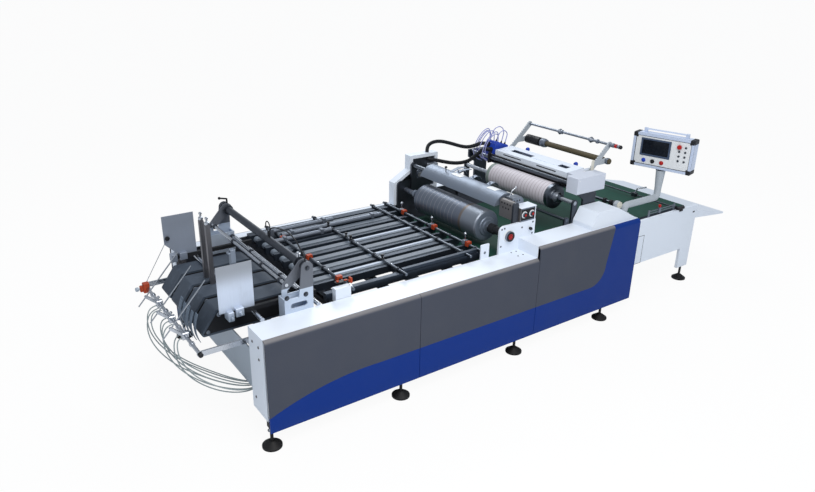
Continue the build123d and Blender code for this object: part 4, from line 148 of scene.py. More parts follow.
class Graph:
    """The nodes of a material, of the room or of a pattern of small parts."""

    def __init__(self, tree):
        self.tree = tree

    def node(self, kind, settings=None, sockets=None, output=0):
        """Adds a node: its settings first, then the values or links of its sockets."""
        node = self.tree.nodes.new(kind)
        for name, value in (settings or {}).items():
            setattr(node, name, value)
        for name, value in (sockets or {}).items():
            self.feed(node.inputs[name], value)
        return Socket(self, node.outputs[output])

    def feed(self, socket, value):
        """Links a socket's value, or sets it on the socket itself."""
        if isinstance(value, Socket):
            self.tree.links.new(value.out, socket)
        elif isinstance(value, tuple) and socket.type == "RGBA":
            socket.default_value = (*value, 1.0)
        else:
            socket.default_value = value

    def mix(self, share, first, second):
        """Two colours, the second by its share."""
        return self.node(
            "ShaderNodeMix", {"data_type": "RGBA"}, {0: share, 6: first, 7: second}, output=2
        )


ROOM_LIGHT = (0.86, 0.92, 1.0)
LIT_STRENGTH = 0.56
MIRROR_STRENGTH = 0.5
SEEN_STRENGTH = 1.0
WHITE = (1.0, 1.0, 1.0)
room_world = bpy.data.worlds.new("studio")
room_world.use_nodes = True
bpy.context.scene.world = room_world
room = Graph(room_world.node_tree)
seen = room.node("ShaderNodeLightPath", output="Is Camera Ray")
mirrored = room.node("ShaderNodeLightPath", output="Is Glossy Ray")
lit_room, mirror_room, white_room = (
    room.node("ShaderNodeBackground", {}, {"Color": colour, "Strength": strength})
    for colour, strength in (
        (ROOM_LIGHT, LIT_STRENGTH), (ROOM_LIGHT, MIRROR_STRENGTH), (WHITE, SEEN_STRENGTH)
    )
)
unseen = room.node("ShaderNodeMixShader", {}, {0: mirrored, 1: lit_room, 2: mirror_room})
around = room.node("ShaderNodeMixShader", {}, {0: seen, 1: unseen, 2: white_room})
room.feed(room_world.node_tree.nodes["World Output"].inputs["Surface"], around)


def lamp(name, place, target, size, power, colour):
    """A square soft box that looks at a place on the machine."""
    light = bpy.data.lights.new(name, "AREA")
    light.shape = "SQUARE"
    light.size = size
    light.energy = power
    light.color = colour
    aim = (target - place).to_track_quat("-Z", "Y")
    add(name, light).matrix_world = Matrix.Translation(place) @ aim.to_matrix().to_4x4()


lamp("key_lamp", at(0.6, -3.6, 5.2), at(2.0, 0.0, 0.8), 3.4, 210.0, (1.0, 0.98, 0.95))
lamp("back_lamp", at(4.2, 3.6, 4.4), at(2.4, 0.0, 0.9), 2.6, 120.0, (0.94, 0.97, 1.0))

FLOOR_HALF = 120.0
FLOOR_COLOUR = (0.93, 0.94, 0.95)
FLOOR_WHITENING = 0.94
floor_mesh = bpy.data.meshes.new("studio_floor")
floor_mesh.from_pydata(
    [(x, y, 0.0) for x, y in ((-1, -1), (1, -1), (1, 1), (-1, 1))], [], [(0, 1, 2, 3)]
)
floor_mesh.transform(Matrix.Scale(FLOOR_HALF, 4))
floor = add("studio_floor", floor_mesh)
paint = bpy.data.materials.new("studio_floor")
paint.use_nodes = True
ground = Graph(paint.node_tree)
matt = ground.node("ShaderNodeBsdfDiffuse", {}, {"Color": FLOOR_COLOUR})
glow = ground.node("ShaderNodeEmission", {}, {"Color": WHITE, "Strength": SEEN_STRENGTH})
seen = ground.node("ShaderNodeLightPath", output="Is Camera Ray")
surface = ground.node("ShaderNodeMixShader", {}, {0: seen * FLOOR_WHITENING, 1: matt, 2: glow})
ground.feed(paint.node_tree.nodes["Material Output"].inputs["Surface"], surface)
floor_mesh.materials.append(paint)
floor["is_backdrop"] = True


# Painted sheet metal: the white covers and sides, the anthracite and blue panels. Sprayed
# enamel with a faint orange peel, dust in the hollows and a duller film near the floor.
class Finish(Graph):
    """A material around one shader, with its pattern on the piece's own coordinates."""

    def __init__(self, name, colour, roughness, metallic=0.0, **fixed):
        self.material = bpy.data.materials.new(name)
        self.material.use_nodes = True
        super().__init__(self.material.node_tree)
        self.shader = self.tree.nodes["Principled BSDF"]
        self.slot = name
        self.place = self.node("ShaderNodeTexCoord", output="Object")
        self.put("Base Color", colour)
        self.put("Roughness", roughness)
        self.put("Metallic", metallic)
        for label, value in fixed.items():
            self.put(label.replace("_", " ").title().replace("Ior", "IOR"), value)

    def put(self, label, value):
        """Feeds one input of the shader."""
        if label == "Base Color":
            self.tone = value
        self.feed(self.shader.inputs[label], value)

    def tint(self, share, colour):
        """Another colour where share is 1."""
        self.put("Base Color", self.mix(share, self.tone, colour))

    def from_axis(self, station, z):
        """The distance from an axis that lies across the machine."""
        across = self.axis("X") - (INFEED + station)
        up = self.axis("Z") - z
        return (across * across + up * up).maths("SQRT")

    def between(self, low, high, soft=0.02):
        """1 between two stations."""
        place = self.axis("X") - INFEED
        return place.band(low - soft, low) * place.band(high + soft, high)

    def axis(self, letter):
        """One coordinate of the place, in metres."""
        return self.node("ShaderNodeSeparateXYZ", {}, {0: self.place}, output=letter)

    def noise(self, scale, detail=3.0, stretch=(1.0, 1.0, 1.0)):
        """Clouds of one size, drawn out along an axis where stretch is under 1."""
        spread = self.node("ShaderNodeMapping", {}, {"Vector": self.place, "Scale": stretch})
        return self.node(
            "ShaderNodeTexNoise", {}, {"Vector": spread, "Scale": scale, "Detail": detail}
        )

    def relief(self, height, depth, strength=0.6):
        """Relief of that depth in metres."""
        bump = self.node(
            "ShaderNodeBump", {}, {"Height": height, "Distance": depth, "Strength": strength}
        )
        self.put("Normal", bump)

    def cover(self, *names):
        """Gives the finish to nodes of the frame."""
        for name in names:
            nodes[name].material_slots[0].material = self.material


ORANGE_PEEL = 0.00012
PEEL_SIZE = 420.0
DUST_SIZE = 2.6
WEAR_SIZE = 9.0
FLOOR_FILM = 0.24


def enamel(name, colour, dust, roughness=0.32, gloss=0.12):
    """Sprayed enamel with dust clouds and a film near the floor."""
    finish = Finish(name, colour, roughness, specular_ior_level=gloss)
    clouds = finish.noise(DUST_SIZE, 5.0).band(0.42, 0.78)
    film = finish.axis("Z").band(FLOOR_FILM, 0.0)
    worn = finish.mix(clouds * 0.1 + film * 0.35, colour, dust)
    finish.put("Base Color", worn)
    finish.put("Roughness", finish.noise(WEAR_SIZE, 4.0) * 0.12 + (roughness - 0.05) + film * 0.2)
    finish.relief(finish.noise(PEEL_SIZE, 1.0), ORANGE_PEEL, 0.5)
    return finish


white_enamel = enamel("white_enamel", (0.78, 0.84, 0.93), (0.6, 0.61, 0.62), gloss=0.25)
anthracite = enamel("anthracite_enamel", (0.06, 0.068, 0.092), (0.12, 0.12, 0.12), 0.42)
royal_blue = enamel("royal_blue_enamel", (0.002, 0.03, 0.218), (0.03, 0.06, 0.18), 0.34)
black_enamel = enamel("black_enamel", (0.018, 0.019, 0.022), (0.09, 0.09, 0.09), 0.38)
grey_arm_enamel = enamel("grey_arm_enamel", (0.42, 0.46, 0.5), (0.3, 0.31, 0.32), 0.36)
motor_blue = enamel("blue_motor_paint", (0.022, 0.065, 0.46), (0.05, 0.07, 0.16), 0.28, 0.3)
white_enamel.cover(
    "near_white_cover", "far_white_cover", "gear_housing", "far_tall_cover", "lay_block",
    "near_bearing_plate", "gantry_cover", "gantry_end_box", "delivery_sides", "end_tray",
)
anthracite.cover("near_grey_panels", "far_grey_panels")
royal_blue.cover("near_blue_panels", "far_blue_panels")
black_enamel.cover("base_frame", "guide_rails")
grey_arm_enamel.cover("unwind_arms", "arm_base", "control_arm")
motor_blue.cover("blue_motor")

# The end box of the gantry is a shade greyer than the covers, and the panels' rolled top
# edges carry a painted highlight, a paler and warmer band where light falls on the curve.
on_end_box = white_enamel.axis("Z").band(1.2, 1.22) * white_enamel.axis("Y").band(-0.49, -0.5)
white_enamel.tint(on_end_box * white_enamel.between(3.1, 3.7), (0.6, 0.64, 0.73))
# Painted highlight along the rounded top edges of the lower and the higher panels.
panel_height = anthracite.axis("Z")
low_edge_highlight = panel_height.band(0.838, 0.862) * anthracite.between(0.0, 2.505, 0.004)
high_edge_highlight = panel_height.band(0.944, 0.968) * anthracite.between(2.51, 4.0, 0.004)
anthracite.tint((low_edge_highlight + high_edge_highlight) * 0.75, (0.26, 0.25, 0.255))


# Bare metal: ground steel plates and shafts, brushed aluminium, bright chrome and satin
# sheet. Drawn or ground along one axis, so the scratches run with it.
SCRATCH_DEPTH = 0.00002
SCRATCH_SIZE = 260.0
OIL_SIZE = 7.0
ALONG_X = (0.01, 1.0, 1.0)
ALONG_Y = (1.0, 0.004, 1.0)
ALONG_Z = (1.0, 1.0, 0.02)


def metal(name, colour, roughness, grain, stain=(0.1, 0.08, 0.06), share=0.25, bare=1.0):
    """Metal with fine scratches along an axis and oily clouds."""
    finish = Finish(name, colour, roughness, bare)
    scratches = finish.noise(SCRATCH_SIZE, 3.0, grain)
    clouds = finish.noise(OIL_SIZE, 5.0).band(0.45, 0.85)
    tone = finish.mix(scratches * 0.35, colour, tuple(part * 0.62 for part in colour))
    finish.put("Base Color", finish.mix(clouds * share, tone, stain))
    finish.put("Roughness", scratches * 0.16 + clouds * 0.12 + (roughness - 0.08))
    finish.relief(scratches, SCRATCH_DEPTH)
    return finish


machined_steel = metal("machined_steel", (0.22, 0.25, 0.3), 0.46, ALONG_X, bare=0.8)
rail_steel = metal("rail_steel", (0.048, 0.062, 0.085), 0.42, ALONG_X, (0.05, 0.05, 0.05), bare=0.8)
dark_steel = metal("dark_steel", (0.095, 0.105, 0.125), 0.42, ALONG_X, (0.03, 0.028, 0.025))
UNWIND = (3.765, 1.605)
dark_steel.tint(dark_steel.from_axis(*UNWIND).band(0.09, 0.08), (0.3, 0.33, 0.38))
dark_steel.tint(dark_steel.between(0.0, 0.08) * 0.8, (0.27, 0.26, 0.27))
bright_steel = metal("bright_steel", (0.58, 0.61, 0.66), 0.24, ALONG_Y, share=0.12)
rod_steel = metal("rod_steel", (0.16, 0.18, 0.21), 0.32, ALONG_Y, share=0.2)
bare_aluminium = metal(
    "bare_aluminium", (0.68, 0.76, 0.9), 0.42, ALONG_Z, (0.3, 0.31, 0.32), bare=0.35
)
silver_sheet = metal(
    "silver_sheet", (0.23, 0.27, 0.335), 0.5, ALONG_Y, (0.17, 0.16, 0.15), bare=0.7
)

# The brackets are darker over their light feet, the two side guides are shaded, the box face
# is paler, and the housing beside the hood is browner, as worn sheet.
height = bare_aluminium.axis("Z")
bare_aluminium.tint(height.band(1.06, 1.22) * 0.6, (0.36, 0.39, 0.44))
bare_aluminium.tint(height.band(0.98, 0.87) * 0.85, (0.18, 0.23, 0.29))
bare_aluminium.tint(height.band(0.84, 0.8), (0.4, 0.46, 0.53))
side = bare_aluminium.axis("Y")
at_guides = bare_aluminium.between(-0.3, 0.2)
bare_aluminium.tint(side.band(0.3, 0.4) * at_guides * 0.7, (0.2, 0.23, 0.29))
near_guide = side.band(-0.52, -0.54) * at_guides * height.band(1.1, 1.24)
bare_aluminium.tint(near_guide * 0.8, (0.28, 0.3, 0.335))
on_brackets = bare_aluminium.between(0.2, 1.2)
bare_aluminium.tint(on_brackets * 0.95, (0.125, 0.137, 0.162))
bare_aluminium.tint(on_brackets * height.band(1.035, 1.03) * 0.9, (0.6, 0.69, 0.82))
on_box_face = bare_aluminium.between(4.0, 4.8)
bare_aluminium.tint(on_box_face, (0.66, 0.74, 0.9))
bare_aluminium.put("Metallic", 0.35 - on_box_face * 0.25)
worn_housing = silver_sheet.axis("Y").band(-0.505, -0.51) * silver_sheet.between(2.43, 2.51)
silver_sheet.tint(worn_housing * 0.7, (0.2, 0.17, 0.145))

# The plate cylinder carries light rings on its far part, up to a brown edge, and its near
# part is polished.
CYLINDER_RING_PITCH = 0.054
on_cylinder = machined_steel.between(2.2, 2.6)
side = machined_steel.axis("Y")
machined_steel.tint(on_cylinder, (0.165, 0.19, 0.24))
machined_steel.tint(on_cylinder * side.band(-0.205, -0.215), (0.26, 0.29, 0.34))
wave = (side * (2.0 * pi / CYLINDER_RING_PITCH)).maths("SINE").band(0.93, 0.985)
machined_steel.tint(on_cylinder * wave * side.band(-0.15, -0.14) * 0.7, (0.42, 0.42, 0.42))
brown = side.band(-0.222, -0.212) * side.band(-0.18, -0.19)
machined_steel.tint(on_cylinder * brown * 0.6, (0.24, 0.17, 0.11))
machined_steel.cover("belt_tensioner", "plate_cylinder")
rail_steel.cover("table_rails")
dark_steel.cover(
    "side_frames", "cross_beams", "main_bar", "stop_posts", "bearing_plates", "gantry_frame",
    "unwind_shaft", "belt_bed", "bed_hangers", "delivery_rod",
)
bright_steel.cover("feeder_rods", "front_bar", "stack_rods", "ball_clamps")
rod_steel.cover("cross_rods")
bare_aluminium.cover("infeed_sheet", "bar_brackets", "side_guides", "control_box", "hose_manifold")
silver_sheet.cover("guide_hood", "adjusters")


# Rubber, belts and plastics: moulded or woven, duller than paint, each with a grain of its
# own. The blanket's stripes are woven in, and its hub is bare steel.
RUB_SIZE = 14.0
SMEAR_SIZE = 40.0
STRIPE_PITCH = 0.04
BLANKET = (3.197, 1.16)


def moulded(name, colour, roughness, grain=300.0, depth=0.0001, paler=1.5):
    """Plastic or rubber with a fine grain and rubbed patches."""
    finish = Finish(name, colour, roughness, specular_ior_level=0.25)
    rubbed = finish.noise(RUB_SIZE, 4.0).band(0.5, 0.9)
    light = tuple(min(part * paler + 0.01, 0.9) for part in colour)
    finish.put("Base Color", finish.mix(rubbed * 0.4, colour, light))
    finish.put("Roughness", finish.noise(SMEAR_SIZE) * 0.14 + (roughness - 0.07))
    finish.relief(finish.noise(grain, 2.0), depth)
    return finish


black_rubber = moulded("black_rubber", (0.012, 0.012, 0.013), 0.55, 180.0, 0.0002)
black_plastic = moulded("black_plastic", (0.016, 0.017, 0.02), 0.42)
orange_plastic = moulded("orange_plastic", (0.4, 0.055, 0.018), 0.4)
film_core = moulded("film_core", (0.085, 0.07, 0.04), 0.6, 700.0, 0.0003)
green_belt = moulded("green_belt", (0.01, 0.062, 0.043), 0.62, 900.0, 0.0003, 1.9)
slate_belt = moulded("slate_belt", (0.062, 0.08, 0.108), 0.55, 500.0, 0.0002, 2.4)
pale_belt = moulded("pale_belt", (0.15, 0.18, 0.22), 0.42, 500.0, 0.0001)
striped_wrap = moulded("striped_wrap", (0.58, 0.55, 0.59), 0.55, 500.0, 0.0002, 1.1)
wave = (striped_wrap.axis("Y") * (2.0 * pi / STRIPE_PITCH)).maths("SINE").band(0.86, 0.97)
striped_wrap.tint(wave * 0.62, (0.2, 0.15, 0.17))
hub = striped_wrap.from_axis(*BLANKET).band(0.062, 0.058)
striped_wrap.tint(hub, (0.5, 0.53, 0.58))
striped_wrap.put("Metallic", hub)
pale_hose = moulded("pale_hose", (0.36, 0.38, 0.66), 0.25, 60.0, 0.0001)
grey_hose = moulded("grey_hose", (0.3, 0.35, 0.36), 0.28, 60.0, 0.0001)
black_rubber.cover("levelling_feet")
black_plastic.cover("core_brake")
orange_plastic.cover("orange_clamps")
film_core.cover("core_roll")
green_belt.cover("delivery_belt")
slate_belt.cover("feeder_belts")
pale_belt.cover("feed_belts")
striped_wrap.cover("blanket_roller")


# Cords: two ribbed conduits from the tall cover to the motor, air hoses that stand in loops
# on the motor or hang under the feeder, and one thin line on the main bar.
def smooth_line(name, route):
    """A route's points as the control points of one smooth spline."""
    curve = bpy.data.curves.new(name, "CURVE")
    curve.dimensions = "3D"
    curve.resolution_u = 12
    spline = curve.splines.new("NURBS")
    spline.points.add(len(route) - 1)
    for point, place in zip(spline.points, route):
        point.co = (*place, 1.0)
    spline.order_u = 3
    spline.use_endpoint_u = True
    return curve


SHARP_ANGLE = radians(34.0)


def keep(name, mesh, finish, body="machine"):
    """Puts a finished mesh into the scene, on its body and with its finish."""
    mesh.name = name
    if not mesh.materials:
        mesh.materials.append(finish.material)
    mesh.shade_smooth()
    mesh.set_sharp_from_angle(angle=SHARP_ANGLE)
    piece = add(name, mesh)
    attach(piece, body)
    return piece


class Pattern(Graph):
    """A geometry tree with named sizes, run on points and kept as plain mesh."""

    def __init__(self, name, **sizes):
        tree = bpy.data.node_groups.new(name, "GeometryNodeTree")
        super().__init__(tree)
        kinds = {int: "NodeSocketInt", float: "NodeSocketFloat"}
        tree.interface.new_socket("Geometry", in_out="INPUT", socket_type="NodeSocketGeometry")
        for label, value in sizes.items():
            entry = tree.interface.new_socket(label, in_out="INPUT", socket_type=kinds[type(value)])
            entry.default_value = value
        tree.interface.new_socket("Finish", in_out="INPUT", socket_type="NodeSocketMaterial")
        tree.interface.new_socket("Geometry", in_out="OUTPUT", socket_type="NodeSocketGeometry")
        self.inputs = tree.nodes.new("NodeGroupInput")

    def size(self, label):
        """One of the tree's named inputs."""
        return Socket(self, self.inputs.outputs[label])

    def end(self, geometry):
        """Makes the instances real and gives them their finish."""
        plain = self.node("GeometryNodeRealizeInstances", {}, {"Geometry": geometry})
        dressed = self.node(
            "GeometryNodeSetMaterial", {}, {"Geometry": plain, "Material": self.size("Finish")}
        )
        out = self.tree.nodes.new("NodeGroupOutput")
        self.tree.links.new(dressed.out, out.inputs[0])

    def run(self, name, base, finish, **sizes):
        """Runs the tree on an object, and keeps the result as a piece."""
        step = base.modifiers.new(name, "NODES")
        step.node_group = self.tree
        for item in self.tree.interface.items_tree:
            if item.in_out == "INPUT" and item.name in sizes:
                step[item.identifier] = sizes[item.name]
            elif item.in_out == "INPUT" and item.name == "Finish":
                step[item.identifier] = finish.material
        base.update_tag()
        depsgraph = bpy.context.evaluated_depsgraph_get()
        mesh = bpy.data.meshes.new_from_object(base.evaluated_get(depsgraph))
        base.modifiers.clear()
        bpy.data.objects.remove(base)
        return keep(name, mesh, finish)


def hose(name, route, radius, finish):
    """A plain round hose along its route."""
    curve = smooth_line(name, route)
    curve.bevel_depth = radius
    curve.bevel_resolution = 3
    curve.use_fill_caps = True
    curve.materials.append(finish.material)
    line = add(name, curve)
    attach(line, "machine")
    return line


CONDUIT_SIDES = 20
ribs = Pattern("ribbed_tube", Radius=0.02, Pitch=0.008, Depth=0.14)
index = ribs.node("GeometryNodeInputIndex")
steps = ribs.node(
    "GeometryNodeResampleCurve",
    {"mode": "LENGTH"},
    {"Curve": ribs.size("Geometry"), "Length": ribs.size("Pitch") / 2.0},
)
outline = ribs.node(
    "GeometryNodeCurvePrimitiveCircle",
    {},
    {"Resolution": CONDUIT_SIDES, "Radius": ribs.size("Radius")},
)
ribs.end(
    ribs.node(
        "GeometryNodeCurveToMesh",
        {},
        {
            "Curve": steps,
            "Profile Curve": outline,
            "Scale": 1.0 - ribs.size("Depth") * index.maths("MODULO", 2.0),
            "Fill Caps": True,
        },
    )
)


CONDUIT_RADIUS = 0.02


def conduit(name, route):
    """A ribbed conduit that follows its route's spline."""
    line = add(f"{name}_line", smooth_line(name, route))
    depsgraph = bpy.context.evaluated_depsgraph_get()
    followed = bpy.data.meshes.new_from_object(line.evaluated_get(depsgraph))
    bpy.data.meshes.remove(followed)
    tube = ribs.run(name, line, black_plastic, Radius=CONDUIT_RADIUS)
    return tube


TALL_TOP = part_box("far_tall_cover")[1].z
TALL_LINER = 0.869
MOTOR_LEAN = radians(19.5)
MOTOR_CORNER = (3.269, 1.25)
MOTOR_HEIGHT = 0.219


def motor_section(along, up):
    """A station and a height, from a place in the leaning motor's own section."""
    return (
        MOTOR_CORNER[0] + along * cos(MOTOR_LEAN) + up * sin(MOTOR_LEAN),
        MOTOR_CORNER[1] - along * sin(MOTOR_LEAN) + up * cos(MOTOR_LEAN),
    )


def on_motor(along, up, y):
    """A place in the leaning motor's own section."""
    station, z = motor_section(along, up)
    return at(station, y, z)


def places(*rows):
    """Places from rows of a station, a side and a height."""
    return [at(*row) for row in rows]


upper_route = [
    *places(
        (2.7, 0.905, TALL_TOP), (2.7, 0.905, TALL_TOP + 0.045),
        (2.722, 0.893, TALL_TOP + 0.086), (2.768, 0.868, TALL_TOP + 0.108),
        (2.832, 0.832, TALL_TOP + 0.112), (2.918, 0.778, TALL_TOP + 0.088),
        (3.0, 0.712, TALL_TOP + 0.06), (3.072, 0.68, TALL_TOP + 0.05),
        (3.152, 0.664, TALL_TOP + 0.064),
    ),
    on_motor(-0.085, 0.166, 0.656),
    on_motor(0.0, 0.166, 0.656),
]
lower_route = [
    *places(
        (2.69, TALL_LINER, 1.29), (2.69, 0.824, 1.29), (2.728, 0.784, 1.287),
        (2.79, 0.756, 1.272), (2.88, 0.724, 1.25), (2.975, 0.69, 1.243),
        (3.065, 0.656, 1.262), (3.118, 0.628, 1.312), (3.17, 0.604, 1.36),
    ),
    on_motor(-0.085, 0.118, 0.595),
    on_motor(0.0, 0.118, 0.595),
]
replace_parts(conduit("ribbed_conduit_upper", upper_route), "conduit_upper")
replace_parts(conduit("ribbed_conduit_lower", lower_route), "conduit_lower")

# The motor's air hoses: two soft pale tubes that stand in loops on its top, each pushed on
# a fitting at both ends.
MOTOR_HOSE_RADIUS = 0.005
HOSE_RISE = MOTOR_HEIGHT + 0.06
for number, (length, (start, near), (end, far), ways) in enumerate(
    (
        (
            0.391, (0.024, 0.68), (0.16, 0.645),
            ((0.0, 0.68, 0.0), (0.03, 0.668, 0.062), (0.096, 0.658, 0.078), (0.146, 0.65, 0.03)),
        ),
        (
            0.322, (0.04, 0.6), (0.148, 0.578),
            ((0.0, 0.6, 0.0), (0.026, 0.59, 0.044), (0.078, 0.584, 0.054), (0.116, 0.58, 0.016)),
        ),
    ),
    1,
):
    rise = on_motor(start, HOSE_RISE, 0.0)
    route = [
        on_motor(start, MOTOR_HEIGHT, near),
        *(rise + Vector(way) for way in ways),
        on_motor(end, HOSE_RISE, far),
        on_motor(end, MOTOR_HEIGHT, far),
    ]
    loop = hose(f"motor_air_loop_{number}", route, MOTOR_HOSE_RADIUS, pale_hose)
    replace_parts(loop, f"motor_hose_{number}")

# The main bar's air line: a thin black tube that rises at the ring and goes over to the near
# bracket in one arch.
MAIN_BAR = (0.465, 1.182)
BAR_LINE = (
    (-0.095, 1.211), (-0.095, 1.258), (-0.128, 1.296), (-0.2, 1.322), (-0.289, 1.34),
    (-0.36, 1.352), (-0.428, 1.358), (-0.52, 1.344), (-0.582, 1.314), (-0.622, 1.284),
    (-0.66, 1.262), (-0.676, 1.24), (-0.676, 1.22),
)
hose("bar_air_line", [at(MAIN_BAR[0], y, z) for y, z in BAR_LINE], 0.005, black_plastic)

# More soft tubes stand off the motor's front, from its top down to its lower edge. Their
# loops share one shape, about a middle height, and differ in place, swell and drop.
LOOP_SHAPE = (
    (0.03, MOTOR_HEIGHT), (0.03, 0.268), (-0.008, 0.304), (-0.066, 0.296), (-0.112, 0.232),
    (-0.126, 0.14), (-0.104, 0.062), (-0.05, 0.03), (0.0, 0.03),
)
LOOP_MIDDLE = 0.12
LOOP_SWAY = 0.012
MORE_LOOPS = (
    (0.692, 1.0, 0.0),
    (0.684, 0.9, 0.012),
    (0.625, 1.12, -0.012),
    (0.566, 0.9, 0.006),
    (0.688, 1.24, -0.024),
    (0.56, 1.16, -0.018),
)
for number, (y, swell, drop) in enumerate(MORE_LOOPS, 3):
    route = []
    for step, (along, up) in enumerate(LOOP_SHAPE):
        if along < 0.0:
            along *= swell
        if step > 0:
            up = (up - LOOP_MIDDLE) * (1.0 if step < 2 else swell) + LOOP_MIDDLE + drop
        route.append(on_motor(along, up, y + LOOP_SWAY * sin(step * 1.3)))
    hose(f"motor_air_loop_{number}", route, MOTOR_HOSE_RADIUS, pale_hose)

# The feeder's air hoses: soft grey tubes that hang from outlets on the front bar and rise
# into the manifold from below.
HOSE_RADIUS = 0.0045
HOSE_EXIT = -0.335
HOSE_LINE = 0.702
MANIFOLD_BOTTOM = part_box("hose_manifold")[0].z
feeder_routes = (
    (1.411, places(
        (HOSE_EXIT, 0.255, HOSE_LINE), (-0.375, 0.255, HOSE_LINE), (-0.418, 0.24, 0.672),
        (-0.438, 0.212, 0.605), (-0.432, 0.17, 0.525), (-0.395, 0.095, 0.446),
        (-0.33, -0.01, 0.38), (-0.248, -0.125, 0.336), (-0.16, -0.25, 0.312),
        (-0.078, -0.378, 0.302), (0.002, -0.49, 0.304), (0.072, -0.57, 0.318),
        (0.128, -0.63, 0.342), (0.166, -0.662, 0.384), (0.166, -0.662, MANIFOLD_BOTTOM),
    )),
    (1.114, places(
        (HOSE_EXIT, -0.045, HOSE_LINE), (-0.37, -0.045, HOSE_LINE), (-0.402, -0.058, 0.668),
        (-0.414, -0.082, 0.602), (-0.4, -0.122, 0.522), (-0.358, -0.188, 0.444),
        (-0.292, -0.272, 0.384), (-0.212, -0.366, 0.344), (-0.128, -0.456, 0.322),
        (-0.048, -0.538, 0.315), (0.02, -0.6, 0.32), (0.072, -0.642, 0.344),
        (0.106, -0.664, 0.386), (0.106, -0.664, MANIFOLD_BOTTOM),
    )),
    (0.879, places(
        (HOSE_EXIT, -0.335, HOSE_LINE), (-0.366, -0.335, HOSE_LINE), (-0.388, -0.348, 0.66),
        (-0.39, -0.368, 0.592), (-0.366, -0.402, 0.512), (-0.316, -0.448, 0.44),
        (-0.246, -0.502, 0.386), (-0.17, -0.556, 0.348), (-0.094, -0.604, 0.328),
        (-0.026, -0.642, 0.324), (0.026, -0.664, 0.334), (0.054, -0.672, 0.37),
        (0.054, -0.672, MANIFOLD_BOTTOM),
    )),
)
for number, (length, route) in enumerate(feeder_routes, 1):
    hanging = hose(f"feeder_air_hose_{number}", route, HOSE_RADIUS, grey_hose)
    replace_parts(hanging, f"feeder_hose_{number}")

# The rest of that bundle: each hose follows one of the three, from another outlet and with
# another belly.
MORE_HOSES = (
    (0, -0.052, (-0.02, 0.01), -0.03),
    (0, -0.104, (-0.03, -0.01), 0.036),
    (1, 0.055, (-0.022, -0.012), 0.022),
    (1, -0.06, (0.016, 0.012), -0.034),
    (2, 0.06, (0.024, 0.01), -0.04),
)
for number, (source, inlet, (outlet_x, outlet_y), belly) in enumerate(MORE_HOSES, 4):
    followed = feeder_routes[source][1]
    route = []
    for step, place in enumerate(followed):
        share = step / (len(followed) - 1)
        swing = sin(pi * share)
        away = Vector((outlet_x * share + belly * 0.6 * swing, 0.0, belly * swing))
        away.y = inlet * (1 - share) + outlet_y * share
        route.append(place + away)
    hose(f"feeder_air_hose_{number}", route, HOSE_RADIUS, grey_hose)

# Screws and nuts: bright or black hexagon and cap heads, each on its washer. They hold the
# covers, the brackets, the bearing plate and the rails, and lock the stems of the feet.
screws = Pattern("screws", Radius=0.006, Height=0.004, Corners=6, Washer=1.35)
WASHER_SIDES = 20
TOP_TAPER = 0.86
WASHER_SHARE = 0.2
HEAD_SHARE = 0.7
TOP_SHARE = 0.3
screw_radius = screws.size("Radius")
screw_height = screws.size("Height")
top = screws.node(
    "GeometryNodeMeshCone",
    {},
    {
        "Vertices": screws.size("Corners"),
        "Radius Top": screw_radius * TOP_TAPER,
        "Radius Bottom": screw_radius,
        "Depth": screw_height * TOP_SHARE,
    },
)
head = screws.node(
    "GeometryNodeMeshCylinder",
    {},
    {
        "Vertices": screws.size("Corners"),
        "Radius": screw_radius,
        "Depth": screw_height * HEAD_SHARE,
    },
)
washer = screws.node(
    "GeometryNodeMeshCylinder",
    {},
    {
        "Vertices": WASHER_SIDES,
        "Radius": screw_radius * screws.size("Washer"),
        "Depth": screw_height * WASHER_SHARE,
    },
)
join = screws.tree.nodes.new("GeometryNodeJoinGeometry")
for part, share in ((head, 0.45), (top, 0.8), (washer, 0.1)):
    lift = screws.node("ShaderNodeCombineXYZ", {}, {"Z": screw_height * share})
    raised = screws.node("GeometryNodeTransform", {}, {"Geometry": part, "Translation": lift})
    screws.tree.links.new(raised.out, join.inputs[0])
facing = screws.node(
    "GeometryNodeInputNamedAttribute", {"data_type": "FLOAT_VECTOR"}, {"Name": "facing"}
)
screws.end(
    screws.node(
        "GeometryNodeInstanceOnPoints",
        {},
        {
            "Points": screws.size("Geometry"),
            "Instance": Socket(screws, join.outputs[0]),
            "Rotation": screws.node(
                "FunctionNodeAlignRotationToVector", {"axis": "Z"}, {"Vector": facing}
            ),
        },
    )
)


def fasten(name, finish, way, spots, radius, height, corners, washer):
    """Screw heads or nuts at some places, all facing one way."""
    mesh = bpy.data.meshes.new(name)
    mesh.from_pydata([tuple(spot) for spot in spots], [], [])
    ways = mesh.attributes.new("facing", "FLOAT_VECTOR", "POINT")
    for entry in ways.data:
        entry.vector = way
    sizes = {"Radius": radius, "Height": height, "Corners": corners, "Washer": washer}
    screws.run(name, add(name, mesh), finish, **sizes)


UP = (0.0, 0.0, 1.0)
TO_NEAR = (0.0, -1.0, 0.0)
TO_FAR = (0.0, 1.0, 0.0)
TO_INFEED = (-1.0, 0.0, 0.0)
NEAR_WALL = -0.704
COVER_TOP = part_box("feeder_belts")[1].z + 0.006
LOW_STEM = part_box("base_frame")[0].z - 0.018
RAIL_COUNT = 9
RAIL_FIRST = -0.624
RAIL_PITCH = 0.17425
RAIL_TOP = 0.905
ROD_STATIONS = (0.84, 1.32, 1.975, 2.126)
fasten(
    "cover_screws", black_plastic, UP,
    [at(x, y, COVER_TOP) for x in (2.403, 2.461) for y in (-0.736, -0.821, 0.876, 0.916)],
    0.0055, 0.003, 12, 1.2,
)
fasten(
    "end_screws", dark_steel, TO_INFEED,
    places(
        (0.0, -0.768, 0.776), (0.0, -0.868, 0.775), (0.0, -0.865, 0.68), (0.0, -0.768, 0.33),
        (0.0, 0.876, 0.776), (0.0, 0.916, 0.68), (0.0, 0.896, 0.33),
    ),
    0.008, 0.005, 6, 1.4,
)
